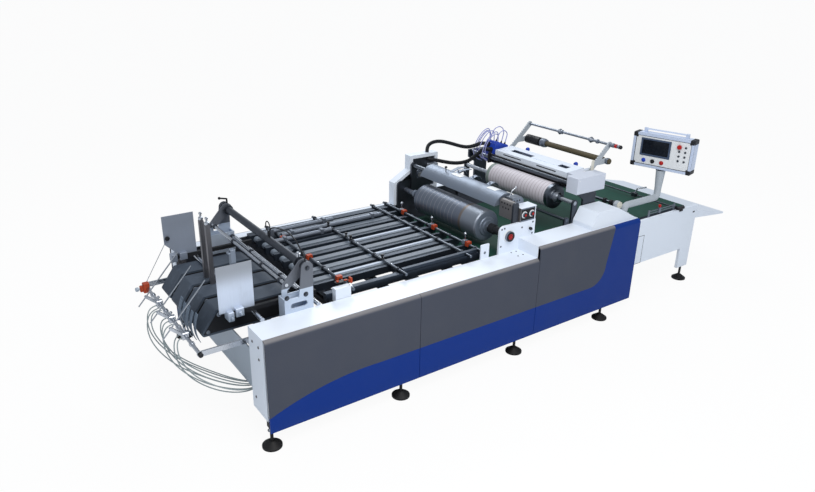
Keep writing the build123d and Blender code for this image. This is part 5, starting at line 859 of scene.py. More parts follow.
fasten(
    "bracket_bolts", dark_steel, TO_NEAR,
    places((0.3, NEAR_WALL, 0.99), (0.447, NEAR_WALL, 0.984), (0.465, NEAR_WALL, 1.182)),
    0.0125, 0.01, 6, 1.5,
)
fasten(
    "rail_screws", bright_steel, UP,
    [
        at(station + 0.026, RAIL_FIRST + RAIL_PITCH * rail, RAIL_TOP)
        for station in ROD_STATIONS
        for rail in range(RAIL_COUNT)
    ],
    0.007, 0.007, 12, 1.3,
)
fasten(
    "foot_lock_nuts", bright_steel, UP,
    [at(x, y, LOW_STEM) for x in (0.028, 1.127, 2.34, 3.475) for y in (-0.926, 0.904)],
    0.021, 0.017, 6, 1.25,
)
fasten(
    "plate_screws", dark_steel, TO_NEAR,
    places(
        (2.305, NEAR_WALL, 0.932), (2.305, NEAR_WALL, 1.088), (2.335, NEAR_WALL, 1.092),
        (2.668, NEAR_WALL, 0.985), (2.54, NEAR_WALL, 1.062), (2.668, NEAR_WALL, 1.09),
    ),
    0.0065, 0.004, 12, 1.3,
)


# Feeder: four belt units, each with a black bed plate and three turned steel pulleys on
# either side of its belt.
EDGE_SHARE = 0.4
KNEE_SWELL = 1.02


class Solids:
    """The mesh of one small part, or of a set of like parts, built from simple solids."""

    def __init__(self):
        self.mesh = bmesh.new()

    def turned(self, start, along, profile, sides=28):
        """Turned on an axis, from pairs of the distance along it and the radius."""
        axis = Vector(along).normalized()
        across = axis.orthogonal().normalized()
        other = axis.cross(across)
        rings = []
        for distance, radius in profile:
            centre = start + axis * distance
            ring = []
            for side in range(sides if radius else 1):
                angle = 2 * pi * side / sides
                place = centre + across * (radius * cos(angle)) + other * (radius * sin(angle))
                ring.append(self.mesh.verts.new(place))
            rings.append(ring)
        for first, second in zip(rings, rings[1:]):
            for side in range(sides):
                after = (side + 1) % sides
                low = [first[place % len(first)] for place in (side, after)]
                high = [second[place % len(second)] for place in (after, side)]
                self.mesh.faces.new(list(dict.fromkeys((*low, *high))))
        for ring in (rings[0], rings[-1]):
            if len(ring) > 1:
                self.mesh.faces.new(ring)
        return self

    def rod(self, start, finish_at, radius, edge=0.0015, sides=24):
        """A round bar with turned edges."""
        length = (finish_at - start).length
        edge = min(edge, radius * EDGE_SHARE, length * EDGE_SHARE)
        thin = radius - edge
        profile = ((0, thin), (edge, radius), (length - edge, radius), (length, thin))
        return self.turned(start, finish_at - start, profile, sides)

    def bent(self, bends, radius):
        """A bent round bar with a ball at each bend."""
        for first, second in zip(bends, bends[1:]):
            self.rod(first, second, radius, sides=16)
        for place in bends[1:-1]:
            self.ball(place, radius * KNEE_SWELL, 16)
        return self

    def ball(self, centre, radius, sides=24):
        """A round knob."""
        steps = sides // 2
        profile = [
            (radius - radius * cos(pi * step / steps), radius * sin(pi * step / steps))
            for step in range(1, steps)
        ]
        return self.turned(
            centre - Vector((0, 0, radius)), UP, [(0, 0), *profile, (2 * radius, 0)], sides
        )

    def prism(self, outline, near, far, edge=0.0012):
        """A plate cut to an outline of stations and heights, between two sides."""
        front = [self.mesh.verts.new(at(station, near, z)) for station, z in outline]
        back = [self.mesh.verts.new(at(station, far, z)) for station, z in outline]
        faces = [self.mesh.faces.new(front), self.mesh.faces.new(back)]
        for corner in range(len(outline)):
            after = (corner + 1) % len(outline)
            sheet = (front[corner], front[after], back[after], back[corner])
            faces.append(self.mesh.faces.new(sheet))
        if edge:
            bmesh.ops.recalc_face_normals(self.mesh, faces=faces)
            edges = list({line for face in faces for line in face.edges})
            bmesh.ops.bevel(self.mesh, geom=edges, offset=edge, segments=1, affect="EDGES")
        return self

    def block(self, low, high, edge=0.0012):
        """A squared block between two corners, each a station, a side and a height."""
        outline = ((low[0], low[2]), (high[0], low[2]), (high[0], high[2]), (low[0], high[2]))
        return self.prism(outline, low[1], high[1], edge)

    def turn(self, angle, centre):
        """Turns all that is there about an upright axis."""
        turning = Matrix.Rotation(angle, 3, Vector(UP))
        bmesh.ops.rotate(self.mesh, verts=self.mesh.verts, cent=centre, matrix=turning)
        return self

    def done(self, name, finish, body="machine"):
        """Keeps the solids as one piece."""
        bmesh.ops.recalc_face_normals(self.mesh, faces=self.mesh.faces)
        mesh = bpy.data.meshes.new(name)
        self.mesh.to_mesh(mesh)
        self.mesh.free()
        return keep(name, mesh, finish, body)


def on(axis, y):
    """A place on an axis across the machine."""
    return at(axis[0], y, axis[1])


def collar(bore, rim, width):
    """The profile of a collar, from its distances and radii."""
    return ((0, bore), (0.001, rim), (width, rim), (width + 0.001, bore))


UNIT_COUNT = 4
UNIT_FIRST = -0.359
UNIT_PITCH = 0.24475
UNIT_WIDTH = 0.18975
BED_OUTLINE = ((-0.196, 0.69), (-0.082, 0.846), (0.49, 0.846), (0.49, 0.69))
PULLEYS = ((-0.075, 0.824, 0.018), (-0.165, 0.706, 0.014), (0.46, 0.77, 0.05))
beds = Solids()
pulleys = Solids()
for unit in range(UNIT_COUNT):
    near = UNIT_FIRST + UNIT_PITCH * unit
    for side, out in ((near, -0.006), (near + UNIT_WIDTH, 0.006)):
        beds.prism(BED_OUTLINE, min(side, side + out), max(side, side + out), 0.001)
        for station, z, radius in PULLEYS:
            flange = ((0, radius), (0.004, radius), (0.006, radius - 0.003))
            pulley = (*flange, (0.006, 0.006), (0.012, 0.005))
            pulleys.turned(at(station, side + out, z), (0, out, 0), pulley, 24)
beds.done("feeder_bed_plates", black_enamel)
pulleys.done("feeder_pulleys", machined_steel)

# Hold-down bands: soft dark cloth that hangs in a fan from the belt noses, in three leans by
# turns.
BAND_COUNT = 7
BAND_FIRST = -0.352
BAND_PITCH = 0.052
BAND_WIDTH = 0.046
BAND_THICKNESS = 0.004
BAND_ROOT = -0.172
BAND_LEAN = 0.012
BAND_REACH = 0.075
BAND_TOP = 0.856
BAND_DROP = 0.028
BAND_START = radians(48.4)
BAND_CURL = radians(12.1)
bands = Solids()
for band in range(BAND_COUNT):
    near = BAND_FIRST + BAND_PITCH * band
    root = BAND_ROOT - BAND_LEAN * (band % 3)
    outer = [
        (root - BAND_REACH * cos(BAND_START - BAND_CURL * step), BAND_TOP - BAND_DROP * step)
        for step in range(9)
    ]
    inner = [(station + BAND_THICKNESS, z) for station, z in reversed(outer)]
    bands.prism((*outer, *inner), near, near + BAND_WIDTH, 0.0)
bands.done("hanging_bands", moulded("band_cloth", (0.13, 0.17, 0.225), 0.5))

# Side guides and stop posts: sawn aluminium clamp blocks on the rails, the near guide's post
# of bent sheet, and the turned caps of the posts.
clamps = Solids()
for low, high in (
    ((-0.088, -0.6, 0.868), (-0.046, -0.52, 0.936)),
    ((-0.03, -0.59, 0.884), (0.03, -0.514, 0.948)),
    ((-0.012, -0.604, 0.906), (0.01, -0.59, 0.926)),
    ((-0.098, 0.586, 0.876), (-0.05, 0.65, 0.938)),
    ((-0.03, 0.58, 0.884), (0.03, 0.656, 0.946)),
):
    clamps.block(low, high, 0.003)
clamps.rod(at(-0.067, -0.6, 0.902), at(-0.067, -0.626, 0.902), 0.008)
clamps.rod(at(0.0, -0.604, 0.916), at(0.0, -0.622, 0.916), 0.006)
clamps.done("guide_clamps", bare_aluminium)
Solids().block((-0.018, -0.545, 0.922), (0.018, -0.509, 1.366), 0.002).block(
    (-0.036, -0.552, 1.34), (-0.018, -0.512, 1.352), 0.002
).done("guide_post", silver_sheet)
caps = Solids()
for y in (0.077, 0.207):
    caps.turned(
        at(0.047, y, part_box("stop_posts")[1].z - 0.004), UP,
        ((0, 0.016), (0.006, 0.018), (0.02, 0.018), (0.024, 0.008), (0.04, 0.007),
         (0.044, 0.012), (0.056, 0.012), (0.058, 0.009)),
    )
caps.done("post_caps", bright_steel)

# Front bar clamps with their thumb screws, the thin arm under the near arm, the stay up to
# the far guide, the main bar's lock lever, and the orange end clamp with its grey knob.
FRONT_BAR = (-0.318, 0.71)
bar_parts = Solids()
for y in (-0.335, -0.045, 0.255):
    bar_parts.block((-0.345, y - 0.02, 0.688), (-0.296, y + 0.02, 0.742), 0.004)
    bar_parts.rod(at(-0.322, y, 0.742), at(-0.322, y, 0.766), 0.004)
    thumb = ((0, 0.007), (0.002, 0.01), (0.014, 0.01), (0.016, 0.007))
    bar_parts.turned(at(-0.322, y, 0.76), UP, thumb, 12)
for y in (0.56, 0.42, 0.1, -0.2, -0.48):
    bar_parts.turned(on(FRONT_BAR, y), TO_FAR, collar(0.0135, 0.02, 0.018))
bar_parts.rod(at(-0.28, -0.612, 0.69), at(0.01, -0.612, 0.69), 0.006)
bar_parts.done("front_bar_clamps", bright_steel)
stay = Solids().rod(at(-0.33, 0.61, 0.722), at(-0.12, 0.626, 1.05), 0.0025)
stay.rod(at(-0.33, 0.606, 0.7), at(-0.33, 0.606, 0.745), 0.006)
stay.done("guide_stay", bright_steel)
knobs = Solids().turned(
    at(-0.113, 0.612, 1.09), TO_NEAR,
    ((0, 0.007), (0.012, 0.007), (0.013, 0.017), (0.026, 0.019), (0.034, 0.014), (0.036, 0)),
)
for y, way in ((-0.64, TO_NEAR), (0.64, TO_FAR)):
    end = ((0, 0.014), (0.002, 0.017), (0.012, 0.017), (0.016, 0.012))
    knobs.turned(on(FRONT_BAR, y), way, end)
knobs.done("feeder_knobs", black_plastic)
lever = Solids().rod(at(0.48, 0.8, 1.14), at(0.48, 0.8, 1.172), 0.016)
lever.bent(places((0.48, 0.8, 1.17), (0.478, 0.8, 1.262), (0.42, 0.8, 1.276)), 0.0075)
lever.ball(at(0.414, 0.8, 1.277), 0.012)
lever.done("bar_lock_lever", black_plastic)
end_clamp = Solids().block((-0.352, 0.56, 0.676), (-0.302, 0.606, 0.76), 0.005)
end_clamp.block((-0.376, 0.568, 0.69), (-0.352, 0.598, 0.74), 0.004)
end_clamp.done("end_clamp", orange_plastic)
Solids().turned(
    at(-0.376, 0.583, 0.716), TO_INFEED,
    ((0, 0.006), (0.008, 0.006), (0.009, 0.016), (0.028, 0.018), (0.034, 0.013), (0.035, 0)),
).done("end_clamp_knob", bare_aluminium)

# Main bar and its brackets: split collars, the ring of the air line and a lock pin on the
# near head. Turned and bent steel.
collars = Solids()
for y in (-0.59, 0.736):
    collars.turned(on(MAIN_BAR, y), TO_FAR, collar(0.0305, 0.042, 0.02), 36)
for beam in ((0.325, 1.065), (0.47, 0.945)):
    for y in (-0.56, -0.25, 0.3, 0.7):
        collars.turned(on(beam, y), TO_FAR, collar(0.0135, 0.021, 0.018))
collars.done("bar_collars", dark_steel)
RING_CENTRE = at(0.465, -0.07, 1.291)
RING_RADIUS = 0.038
ring_parts = Solids().bent(
    [
        RING_CENTRE + RING_RADIUS * Vector((0.0, cos(pi * step / 12), sin(pi * step / 12)))
        for step in range(26)
    ],
    0.0042,
)
ring_parts.rod(at(0.465, -0.07, 1.208), at(0.465, -0.07, 1.256), 0.006)
ring_parts.rod(at(0.465, -0.095, 1.208), at(0.465, -0.095, 1.232), 0.0065)
ring_parts.done("bar_line_ring", black_plastic)
Solids().turned(
    at(0.462, -0.575, 1.205), UP,
    ((0, 0.012), (0.03, 0.012), (0.032, 0.017), (0.044, 0.017), (0.046, 0.01), (0.054, 0.009)),
).done("bar_lock_pin", bright_steel)

# Table: split collars beside the rails, two long pipes and a short one along the far belts
# in upright clamps, pale strips from rod to rod and black knobs on the middle rod.
rod_collars = Solids()
for station in ROD_STATIONS:
    for rail in range(0, RAIL_COUNT, 2):
        place = at(station, RAIL_FIRST + RAIL_PITCH * rail + 0.03, 0.917)
        rod_collars.turned(place, TO_FAR, collar(0.0125, 0.0185, 0.014), 20)
rod_collars.done("rod_collars", dark_steel)
tubes = Solids()
for y, z, start, end in (
    (0.64, 0.945, 0.7, 1.42), (0.56, 0.925, 0.86, 1.9), (0.455, 0.925, 0.74, 1.3)
):
    tubes.rod(at(start, y, z), at(end, y, z), 0.02)
    for x in (start + 0.1, end - 0.1):
        tubes.block((x - 0.016, y - 0.026, RAIL_TOP), (x + 0.016, y + 0.026, z + 0.028), 0.004)
tubes.done("table_side_tubes", machined_steel)
strips = Solids()
for start, end, y in ((1.306, 1.99, 0.16), (1.306, 1.99, -0.186), (0.826, 1.334, -0.361)):
    strips.block((start, y - 0.011, 0.8955), (end, y + 0.011, 0.9055), 0.001)
pale_sheet = moulded("pale_plates", (0.5, 0.57, 0.68), 0.4, 60.0, 0.0001, 1.15)
strips.done("table_light_strips", pale_sheet)
rod_knobs = Solids()
for y in (0.543, 0.223, 0.143, -0.36):
    rod_knobs.turned(
        at(1.32, y, 0.915), UP,
        ((0, 0.014), (0.02, 0.014), (0.021, 0.006), (0.034, 0.006), (0.035, 0.013),
         (0.048, 0.013), (0.05, 0.01)),
        16,
    )
rod_knobs.done("rod_knobs", black_plastic)

# Lay block: a dark inset in its top, with two orange stops on it and one beside it. Moulded
# plastic, pinned to the enamelled block.
Solids().block((0.702, -0.692, 0.991), (0.808, -0.656, 0.996), 0.002).done(
    "lay_block_inset", black_plastic
)
stops = Solids()
stops.block((0.712, -0.684, 0.9955), (0.73, -0.664, 1.005), 0.003)
stops.block((0.77, -0.688, 0.9955), (0.8, -0.672, 1.003), 0.003)
stops.block((0.822, -0.694, 0.965), (0.838, -0.656, 1.008), 0.003)
stops.rod(at(0.812, -0.675, 0.985), at(0.823, -0.675, 0.985), 0.007)
stops.done("lay_block_stops", orange_plastic)

# Plate cylinder: a satin end disc with its hub and black journal, a disc and a collar at the
# far end, and a red mark. Turned parts that are fixed to the cylinder and spin with it.
CYLINDER = (2.388, 1.014)
discs = Solids().turned(
    on(CYLINDER, -0.414), TO_NEAR,
    ((-0.002, 0.1345), (0.002, 0.1345), (0.004, 0.13), (0.005, 0.088), (0.014, 0.082),
     (0.018, 0.06), (0.03, 0.056), (0.032, 0.04)),
    64,
)
discs.turned(
    on(CYLINDER, 0.5), TO_FAR,
    ((-0.002, 0.1345), (0.002, 0.1345), (0.004, 0.13), (0.005, 0.06), (0.02, 0.056),
     (0.022, 0.034)),
    64,
)
discs.turned(on(CYLINDER, 0.64), TO_FAR, collar(0.026, 0.04, 0.03), 40)
discs.done("cylinder_discs", silver_sheet, "plate_cylinder")
Solids().turned(
    on(CYLINDER, -0.47), TO_NEAR,
    ((0, 0.0255), (0.002, 0.044), (0.06, 0.044), (0.064, 0.036), (0.15, 0.036), (0.152, 0.0255)),
    40,
).done("cylinder_journal", black_enamel, "plate_cylinder")
red_plastic = moulded("red_plastic", (0.42, 0.012, 0.01), 0.35)
white_plastic = moulded("white_plastic", (0.74, 0.76, 0.78), 0.4)
Solids().turned(
    at(CYLINDER[0] + 0.1, -0.419, CYLINDER[1] - 0.02), TO_NEAR,
    ((-0.001, 0.01), (0.003, 0.01), (0.004, 0.007)),
).done("cylinder_mark", red_plastic, "plate_cylinder")

# Bearing plate: a large dial on the cylinder's axis and two small ones on a black-faced box,
# each a white ring, a black ring and a red face, and a black stub. They are moulded plastic,
# screwed to the plate.
DIALS = (
    (CYLINDER, -0.73, 0.046),
    ((2.5558, 1.1745), -0.72, 0.022),
    ((2.6433, 1.1745), -0.72, 0.022),
)
DIAL_RING = ((-0.002, 0.96), (0.002, 0.96), (0.004, 0.88), (0.004, 0.6), (0.001, 0.56))
DIAL_FACE = ((-0.001, 0.54), (0.002, 0.54), (0.003, 0.46), (0.003, 0))
white_rings = Solids().turned(
    on(CYLINDER, NEAR_WALL), TO_NEAR,
    ((0, 0.057), (0.003, 0.057), (0.005, 0.054), (0.005, 0.047)), 48,
)
for axis, face, size in DIALS[1:]:
    small_ring = ((0, 0.031), (0.003, 0.031), (0.004, 0.029), (0.004, 0.022))
    white_rings.turned(on(axis, NEAR_WALL), TO_NEAR, small_ring, 36)
white_rings.done("dial_rings", white_plastic)
black_rings = Solids()
red_faces = Solids()
for axis, face, size in DIALS:
    ring = [(out, size * share) for out, share in DIAL_RING]
    disc = [(out, size * share) for out, share in DIAL_FACE]
    black_rings.turned(on(axis, face), TO_NEAR, ring, 40)
    red_faces.turned(on(axis, face - 0.001), TO_NEAR, disc, 32)
black_rings.done("dial_black_rings", black_plastic)
red_faces.done("dial_red_faces", red_plastic)
STUD_CIRCLE = 0.0165
fasten(
    "dial_studs", black_plastic, TO_NEAR,
    [
        at(
            CYLINDER[0] + STUD_CIRCLE * cos(pi * step / 3),
            -0.734,
            CYLINDER[1] + STUD_CIRCLE * sin(pi * step / 3),
        )
        for step in range(6)
    ],
    0.0042, 0.0015, 12, 1.0,
)
Solids().block((2.52, -0.706, 1.124), (2.678, -0.7035, 1.222), 0.0008).done(
    "dial_box_face", black_enamel
)
Solids().block((2.508, -0.712, 1.236), (2.692, -0.598, 1.242), 0.0015).block(
    (2.68, -0.708, 1.113), (2.688, -0.602, 1.236), 0.001
).done("dial_box_cap", white_enamel)
Solids().turned(
    at(2.633, NEAR_WALL, 1.037), TO_NEAR,
    ((0, 0.01), (0.01, 0.01), (0.011, 0.014), (0.024, 0.014), (0.026, 0.01), (0.034, 0.006),
     (0.035, 0)),
).done("plate_stub", black_plastic)

# Guide hood: bent spring clips and pale wings along its back edge, two bare white patches,
# a small knob on a stem, and the perforated sheet block with its lever at the near end.
# Bent sheet and turned steel, screwed on.
HOOD_CENTRE = (2.5231, 1.1753)
HOOD_OUTER = 0.1432


def on_hood(angle, lift):
    """A station and a height on the hood's crown, by the angle from upright."""
    reach = HOOD_OUTER + lift
    return (
        HOOD_CENTRE[0] + reach * sin(radians(angle)),
        HOOD_CENTRE[1] + reach * cos(radians(angle)),
    )


patches = Solids()
for y, half in ((0.165, 0.07), (-0.33, 0.058)):
    lower = [on_hood(angle, 0.0005) for angle in (-14, -4, 6, 16)]
    upper = [on_hood(angle, 0.002) for angle in (16, 6, -4, -14)]
    patches.prism((*lower, *upper), y - half, y + half, 0.0)
patches.done("hood_bare_patches", white_plastic)
CLIP = ((2.56, 1.316), (2.59, 1.33), (2.622, 1.334), (2.65, 1.322), (2.668, 1.296))
WING = ((2.575, 1.306), (2.668, 1.33), (2.745, 1.322), (2.745, 1.318), (2.668, 1.325), (2.575, 1.3))
clips = Solids()
for y in (0.235, -0.215, 0.02):
    inner = [(station, z - 0.004) for station, z in reversed(CLIP)]
    clips.prism((*CLIP, *inner), y - 0.024, y + 0.024, 0.0)
    clips.rod(at(2.578, y, 1.312), at(2.578, y, 1.338), 0.007)
for y in (0.33, 0.25):
    clips.prism(WING, y - 0.022, y + 0.022, 0.0)
clips.done("hood_clips", silver_sheet)
Solids().rod(at(2.5, 0.33, 1.31), at(2.5, 0.33, 1.352), 0.005).turned(
    at(2.5, 0.33, 1.348), UP,
    ((0, 0.009), (0.003, 0.013), (0.014, 0.013), (0.018, 0.007), (0.019, 0)),
).done("hood_knob", black_plastic)
Solids().prism(
    ((2.506, 1.15), (2.64, 1.15), (2.64, 1.268), (2.615, 1.3), (2.506, 1.3)),
    -0.598, -0.512, 0.002,
).done("hood_sheet_block", machined_steel)
HOLE_SIZE = (0.008, 0.0012, 20, 1.05)
block_holes = [at(x, -0.598, z) for z in (1.27, 1.235) for x in (2.53, 2.56, 2.59)]
block_holes.append(at(2.618, -0.598, 1.205))
fasten("sheet_block_holes", black_plastic, TO_NEAR, block_holes, *HOLE_SIZE)
HOLE_ROWS = ((1.262, (-0.64, -0.605, -0.57, -0.535)), (1.222, (-0.622, -0.588, -0.552)))
housing_holes = [at(2.441, y, z) for z, row in HOLE_ROWS for y in row]
fasten("housing_holes", black_plastic, TO_INFEED, housing_holes, *HOLE_SIZE)
hood_end = Solids().turned(
    at(2.473, -0.664, 1.26), TO_NEAR,
    ((-0.001, 0.026), (0.004, 0.026), (0.006, 0.022), (0.006, 0.012), (0.014, 0.01), (0.015, 0)),
)
hood_end.bent(places((2.52, -0.54, 1.296), (2.548, -0.54, 1.348), (2.585, -0.545, 1.372)), 0.0055)
hood_end.ball(at(2.588, -0.545, 1.374), 0.01)
hood_end.done("hood_end_lever", bright_steel)

# Inside the tall cover: a silver valve block with four screws and a rounded steel bearing
# bracket, both fixed to the black liner plate.
Solids().block((2.672, 0.8, 1.165), (2.772, 0.868, 1.246), 0.004).block(
    (2.69, 0.78, 1.178), (2.754, 0.802, 1.232), 0.003
).done("tall_cover_block", bare_aluminium)
Solids().turned(
    at(2.56, 0.868, 1.15), TO_NEAR,
    ((0, 0.052), (0.03, 0.052), (0.034, 0.048), (0.034, 0.028), (0.046, 0.026), (0.047, 0)), 40,
).block((2.52, 0.835, 1.03), (2.6, 0.868, 1.15), 0.003).done("tall_cover_bracket", machined_steel)
fasten(
    "tall_block_screws", dark_steel, TO_NEAR,
    [at(station, 0.78, z) for station in (2.702, 2.742) for z in (1.188, 1.222)],
    0.005, 0.004, 12, 1.2,
)

# Blanket roller: a dark chrome ring at the near end and a green one at the far end, a
# hub that spins with them, and the black bars that hold the wrap against it.
Solids().turned(
    on(BLANKET, -0.415), TO_NEAR,
    ((0, 0.1183), (0.0405, 0.1188), (0.0425, 0.112), (0.0425, 0.074), (0.05, 0.07), (0.052, 0.049)),
    64,
).turned(
    on(BLANKET, -0.499), TO_NEAR,
    ((0, 0.048), (0.004, 0.046), (0.01, 0.04), (0.034, 0.036), (0.038, 0.0205)), 40,
).done("roller_near_ring", rod_steel, "blanket_roller")
Solids().turned(
    on(BLANKET, 0.358), TO_FAR,
    ((0, 0.1183), (0.04, 0.1188), (0.0425, 0.112), (0.0425, 0.049)), 64,
).done("roller_far_ring", moulded("ring_green", (0.22, 0.27, 0.25), 0.5), "blanket_roller")
bars = Solids()
for axis in ((3.243, 1.341), (3.268, 1.27)):
    bars.rod(on(axis, -0.575), on(axis, 0.545), 0.008)
bars.prism(
    ((3.222, 1.248), (3.329, 1.248), (3.329, 1.322), (3.282, 1.322), (3.262, 1.36), (3.23, 1.36),
     (3.222, 1.34)),
    0.53, 0.545, 0.0015,
)
bars.done("gantry_bars", black_enamel)

# Gantry: a blue liner plate in the window, blue knobs behind, the cream lever in the arm's
# slot and the cream wheel of the end shaft, its collars, and screws on the end box.
# Enamelled sheet, moulded grips and turned steel.
WINDOW_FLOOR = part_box("gantry_cover")[1].z - 0.052
liners = Solids()
liners.block((3.372, -0.396, WINDOW_FLOOR), (3.438, 0.368, WINDOW_FLOOR + 0.004), 0.0005)
for y in (0.33, -0.33):
    liners.rod(at(3.512, y, 1.372), at(3.572, y, 1.384), 0.006)
    liners.turned(
        at(3.568, y, 1.384), (1, 0, 0.2),
        ((0, 0.01), (0.002, 0.019), (0.022, 0.021), (0.03, 0.016), (0.031, 0)),
    )
liners.done("gantry_blue_parts", motor_blue)
END_SHAFT = (3.782, 1.05)
Solids().prism(
    ((3.52, 1.386), (3.556, 1.386), (3.556, 1.476), (3.546, 1.488), (3.534, 1.488), (3.526, 1.476)),
    -0.575, -0.563, 0.002,
).turned(
    on(END_SHAFT, -0.7465), TO_NEAR,
    ((0, 0.036), (0.01, 0.036), (0.014, 0.03), (0.014, 0.014), (0.02, 0.012), (0.021, 0)), 8,
).done("cream_lever", moulded("cream_plastic", (0.62, 0.6, 0.52), 0.45))
shaft_collars = Solids()
for y in (-0.64, -0.56, 0.76):
    wide = ((0, 0.0145), (0.001, 0.027), (0.026, 0.027), (0.028, 0.0145))
    shaft_collars.turned(on(END_SHAFT, y), TO_NEAR, wide)
shaft_collars.done("end_shaft_collars", black_enamel)
fasten(
    "end_box_screws", white_plastic, TO_NEAR,
    [at(station, -0.709, z) for station in (3.225, 3.56) for z in (1.262, 1.366)],
    0.005, 0.002, 16, 1.1,
)

# Motor: a lid and cooling louvres of blue enamelled sheet on the leaning case, and black
# moulded fittings where the conduits and the first two hoses end.
case_parts = Solids()
for start, end, low, high, near, far, edge in (
    (-0.003, 0.0005, 0.02, 0.034, 0.566, 0.684, 0.0006),
    (-0.003, 0.0005, 0.052, 0.066, 0.566, 0.684, 0.0006),
    (-0.003, 0.0005, 0.084, 0.098, 0.566, 0.684, 0.0006),
    (-0.004, 0.184, 0.182, 0.19, 0.546, 0.704, 0.0015),
):
    corners = ((start, low), (start, high), (end, high), (end, low))
    case_parts.prism([motor_section(*corner) for corner in corners], near, far, edge)
case_parts.done("motor_case_parts", motor_blue)
fittings = Solids()
for along, y in ((0.024, 0.68), (0.16, 0.645), (0.04, 0.6), (0.148, 0.578)):
    fittings.turned(
        on_motor(along, MOTOR_HEIGHT - 0.001, y), (sin(MOTOR_LEAN), 0.0, cos(MOTOR_LEAN)),
        ((0, 0.011), (0.008, 0.011), (0.009, 0.0075), (0.022, 0.007), (0.023, 0.0052)), 12,
    )
for up, y in ((0.166, 0.656), (0.118, 0.595)):
    fittings.turned(
        on_motor(0.0, up, y), (-cos(MOTOR_LEAN), 0.0, sin(MOTOR_LEAN)),
        ((-0.001, 0.029), (0.01, 0.029), (0.011, 0.0245), (0.036, 0.0235), (0.037, 0.0205)), 24,
    )
fittings.done("motor_fittings", black_plastic)

# Unwinder: the grey brake drum and the silver end face of the core, the collars and the
# red end of the upper shaft with its knob, and the bolts of the arms. Turned parts that spin
# with their shafts.
CORE = (3.745, 1.45)
drum = Solids().turned(
    on(CORE, 0.225), TO_FAR,
    ((0, 0.0285), (0.004, 0.04), (0.03, 0.046), (0.06, 0.046), (0.078, 0.038), (0.08, 0.0285)),
    40,
)
drum.turned(
    on(CORE, -0.575), TO_NEAR,
    ((-0.012, 0.0105), (-0.01, 0.031), (0.01, 0.031), (0.012, 0.028), (0.012, 0)), 40,
)
drum.done("core_drum", machined_steel, "core_roll")
Solids().turned(
    on(UNWIND, -0.622), TO_NEAR, ((0, 0.0125), (0.001, 0.019), (0.02, 0.019), (0.022, 0.0125))
).done("unwind_red_end", red_plastic, "unwind_shaft")
Solids().rod(on(UNWIND, -0.642), on(UNWIND, -0.672), 0.006).ball(on(UNWIND, -0.684), 0.019).done(
    "unwind_knob", black_plastic, "unwind_shaft"
)
shaft_rings = Solids()
for y in (-0.59, 0.53, 0.06, -0.4):
    shaft_rings.turned(on(UNWIND, y), TO_NEAR, collar(0.0125, 0.021, 0.018))
shaft_rings.done("unwind_collars", dark_steel, "unwind_shaft")
fasten(
    "arm_bolts", dark_steel, TO_NEAR, places((3.54, -0.56, 1.398), (3.756, -0.56, 1.588)),
    0.008, 0.006, 6, 1.3,
)

# Delivery end: the outline of an access door, a slot and a black catch on the near side, a
# red knob on the tensioner and a bent silver lever on the guide rod.
marks = Solids()
for low, high in (
    ((4.06, -0.8012, 0.372), (4.186, -0.7995, 0.376)),
    ((4.06, -0.8012, 0.672), (4.186, -0.7995, 0.676)),
    ((4.06, -0.8012, 0.372), (4.064, -0.7995, 0.676)),
    ((4.182, -0.8012, 0.372), (4.186, -0.7995, 0.676)),
    ((4.975, -0.8014, 0.764), (5.01, -0.7995, 0.78)),
    ((4.69, -0.808, 0.846), (4.8, -0.78, 0.868)),
    ((4.72, -0.811, 0.826), (4.77, -0.799, 0.846)),
):
    marks.block(low, high, 0.0005)
marks.done("delivery_marks", black_enamel)
Solids().turned(
    at(4.417, -0.767, 0.9), UP,
    ((0, 0.006), (0.022, 0.006), (0.023, 0.013), (0.042, 0.015), (0.048, 0.01), (0.049, 0)),
).done("tensioner_knob", red_plastic)
Solids().bent(
    places((4.7, -0.246, 0.866), (4.716, -0.262, 0.93), (4.78, -0.33, 0.952)), 0.008
).done("delivery_lever", bright_steel)

# Control box: pale aluminium frame bars with black corner caps around a sunk panel with a
# screen, three push buttons, a red stop button and a pad of seven small buttons. They are
# fixed to the box and swing with it.
BOX_STATION = 4.365
BOX_SIDE = -0.745
BOX_MIDDLE = 1.4938
BOX_YAW = radians(14.0)
BOX_PIVOT = at(BOX_STATION, BOX_SIDE, BOX_MIDDLE)


def on_box(right, up, out):
    """A place on the sunk front, before the box is turned on its neck."""
    return (BOX_STATION - 0.05 - out, BOX_SIDE - right, BOX_MIDDLE + up)


def box_piece(name, finish, blocks=(), studs=()):
    """Blocks and turned studs on the front of the box."""
    solids = Solids()
    for right, up, out, width, height, depth, edge in blocks:
        low = on_box(right + width / 2, up - height / 2, out + depth)
        high = on_box(right - width / 2, up + height / 2, out)
        solids.block(low, high, edge)
    for right, up, profile in studs:
        solids.turned(at(*on_box(right, up, 0.0)), TO_INFEED, profile, 32)
    solids.turn(BOX_YAW, BOX_PIVOT)
    return solids.done(name, finish, "control_box")


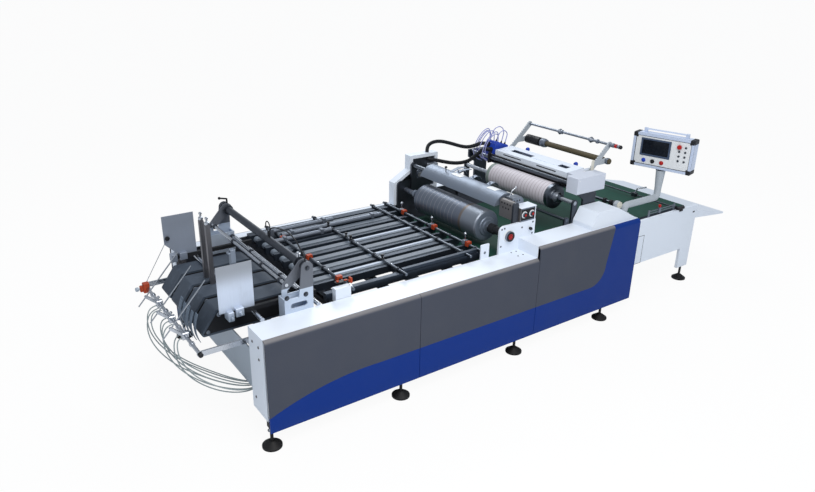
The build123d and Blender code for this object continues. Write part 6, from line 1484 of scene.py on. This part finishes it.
pale_frame = enamel("pale_frame", (0.52, 0.6, 0.76), (0.42, 0.43, 0.45), 0.34)
box_piece(
    "control_frame", pale_frame,
    [
        *((0.0, up, -0.004, 0.552, 0.026, 0.012, 0.002) for up in (0.1545, -0.1545)),
        *((right, 0.0, -0.004, 0.026, 0.285, 0.012, 0.002) for right in (0.287, -0.287)),
    ],
)
box_piece(
    "control_corner_caps", black_plastic,
    [
        (right, up, -0.1065, 0.05, 0.05, 0.1175, 0.008)
        for right in (-0.278, 0.278)
        for up in (-0.1455, 0.1455)
    ],
)
box_piece("control_seal", black_plastic, [(0.0, 0.0, -0.001, 0.548, 0.283, 0.0015, 0.0003)])
box_piece("control_sheet", white_plastic, [(0.0, 0.0, 0.0, 0.538, 0.273, 0.0012, 0.0003)])
slate_face = moulded("slate_face", (0.055, 0.08, 0.135), 0.4)
box_piece("screen_bezel", slate_face, [(-0.068, 0.034, 0.0, 0.3, 0.176, 0.007, 0.003)])
screen_glass = Finish("screen_glass", (0.008, 0.011, 0.018), 0.12, specular_ior_level=0.2)
screen_glass.tint(screen_glass.noise(5.0), (0.003, 0.004, 0.006))
box_piece("screen_glass", screen_glass, [(-0.068, 0.036, 0.0065, 0.262, 0.14, 0.001, 0.0004)])
BUTTON = (
    (0, 0.021), (0.004, 0.021), (0.006, 0.018), (0.006, 0.015), (0.013, 0.015), (0.015, 0.012),
    (0.015, 0),
)
STOP = ((0, 0.012), (0.012, 0.011), (0.014, 0.022), (0.022, 0.023), (0.028, 0.017), (0.029, 0))
SMALL = ((0, 0.011), (0.003, 0.011), (0.004, 0.009), (0.008, 0.009), (0.009, 0.007), (0.009, 0))
box_piece("button_blue", motor_blue, studs=[(-0.17, -0.1, BUTTON)])
box_piece("button_black", black_plastic, studs=[(-0.08, -0.1, BUTTON)])
box_piece("button_dark_red", red_plastic, studs=[(0.01, -0.1, BUTTON)])
box_piece("stop_button", red_plastic, studs=[(0.165, 0.088, STOP)])
box_piece(
    "small_buttons", dark_steel,
    studs=[
        (0.165 + 0.058 * column, 0.088 - 0.046 * row, SMALL)
        for row in range(4)
        for column in range(2)
        if (row, column) != (0, 0)
    ],
)
Solids().turned(
    at(BOX_STATION, BOX_SIDE, 1.3125), UP,
    ((0, 0.046), (0.001, 0.05), (0.012, 0.05), (0.0135, 0.048)), 40,
).done("neck_flange", black_plastic, "control_box")
brackets = Solids()
for y in (BOX_SIDE + 0.205, BOX_SIDE - 0.205):
    brackets.block(
        (BOX_STATION - 0.013, y - 0.015, 1.661), (BOX_STATION + 0.013, y + 0.015, 1.7055), 0.003
    )
brackets.turn(BOX_YAW, BOX_PIVOT)
brackets.done("handle_brackets", pale_frame, "control_box")

low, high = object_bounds()
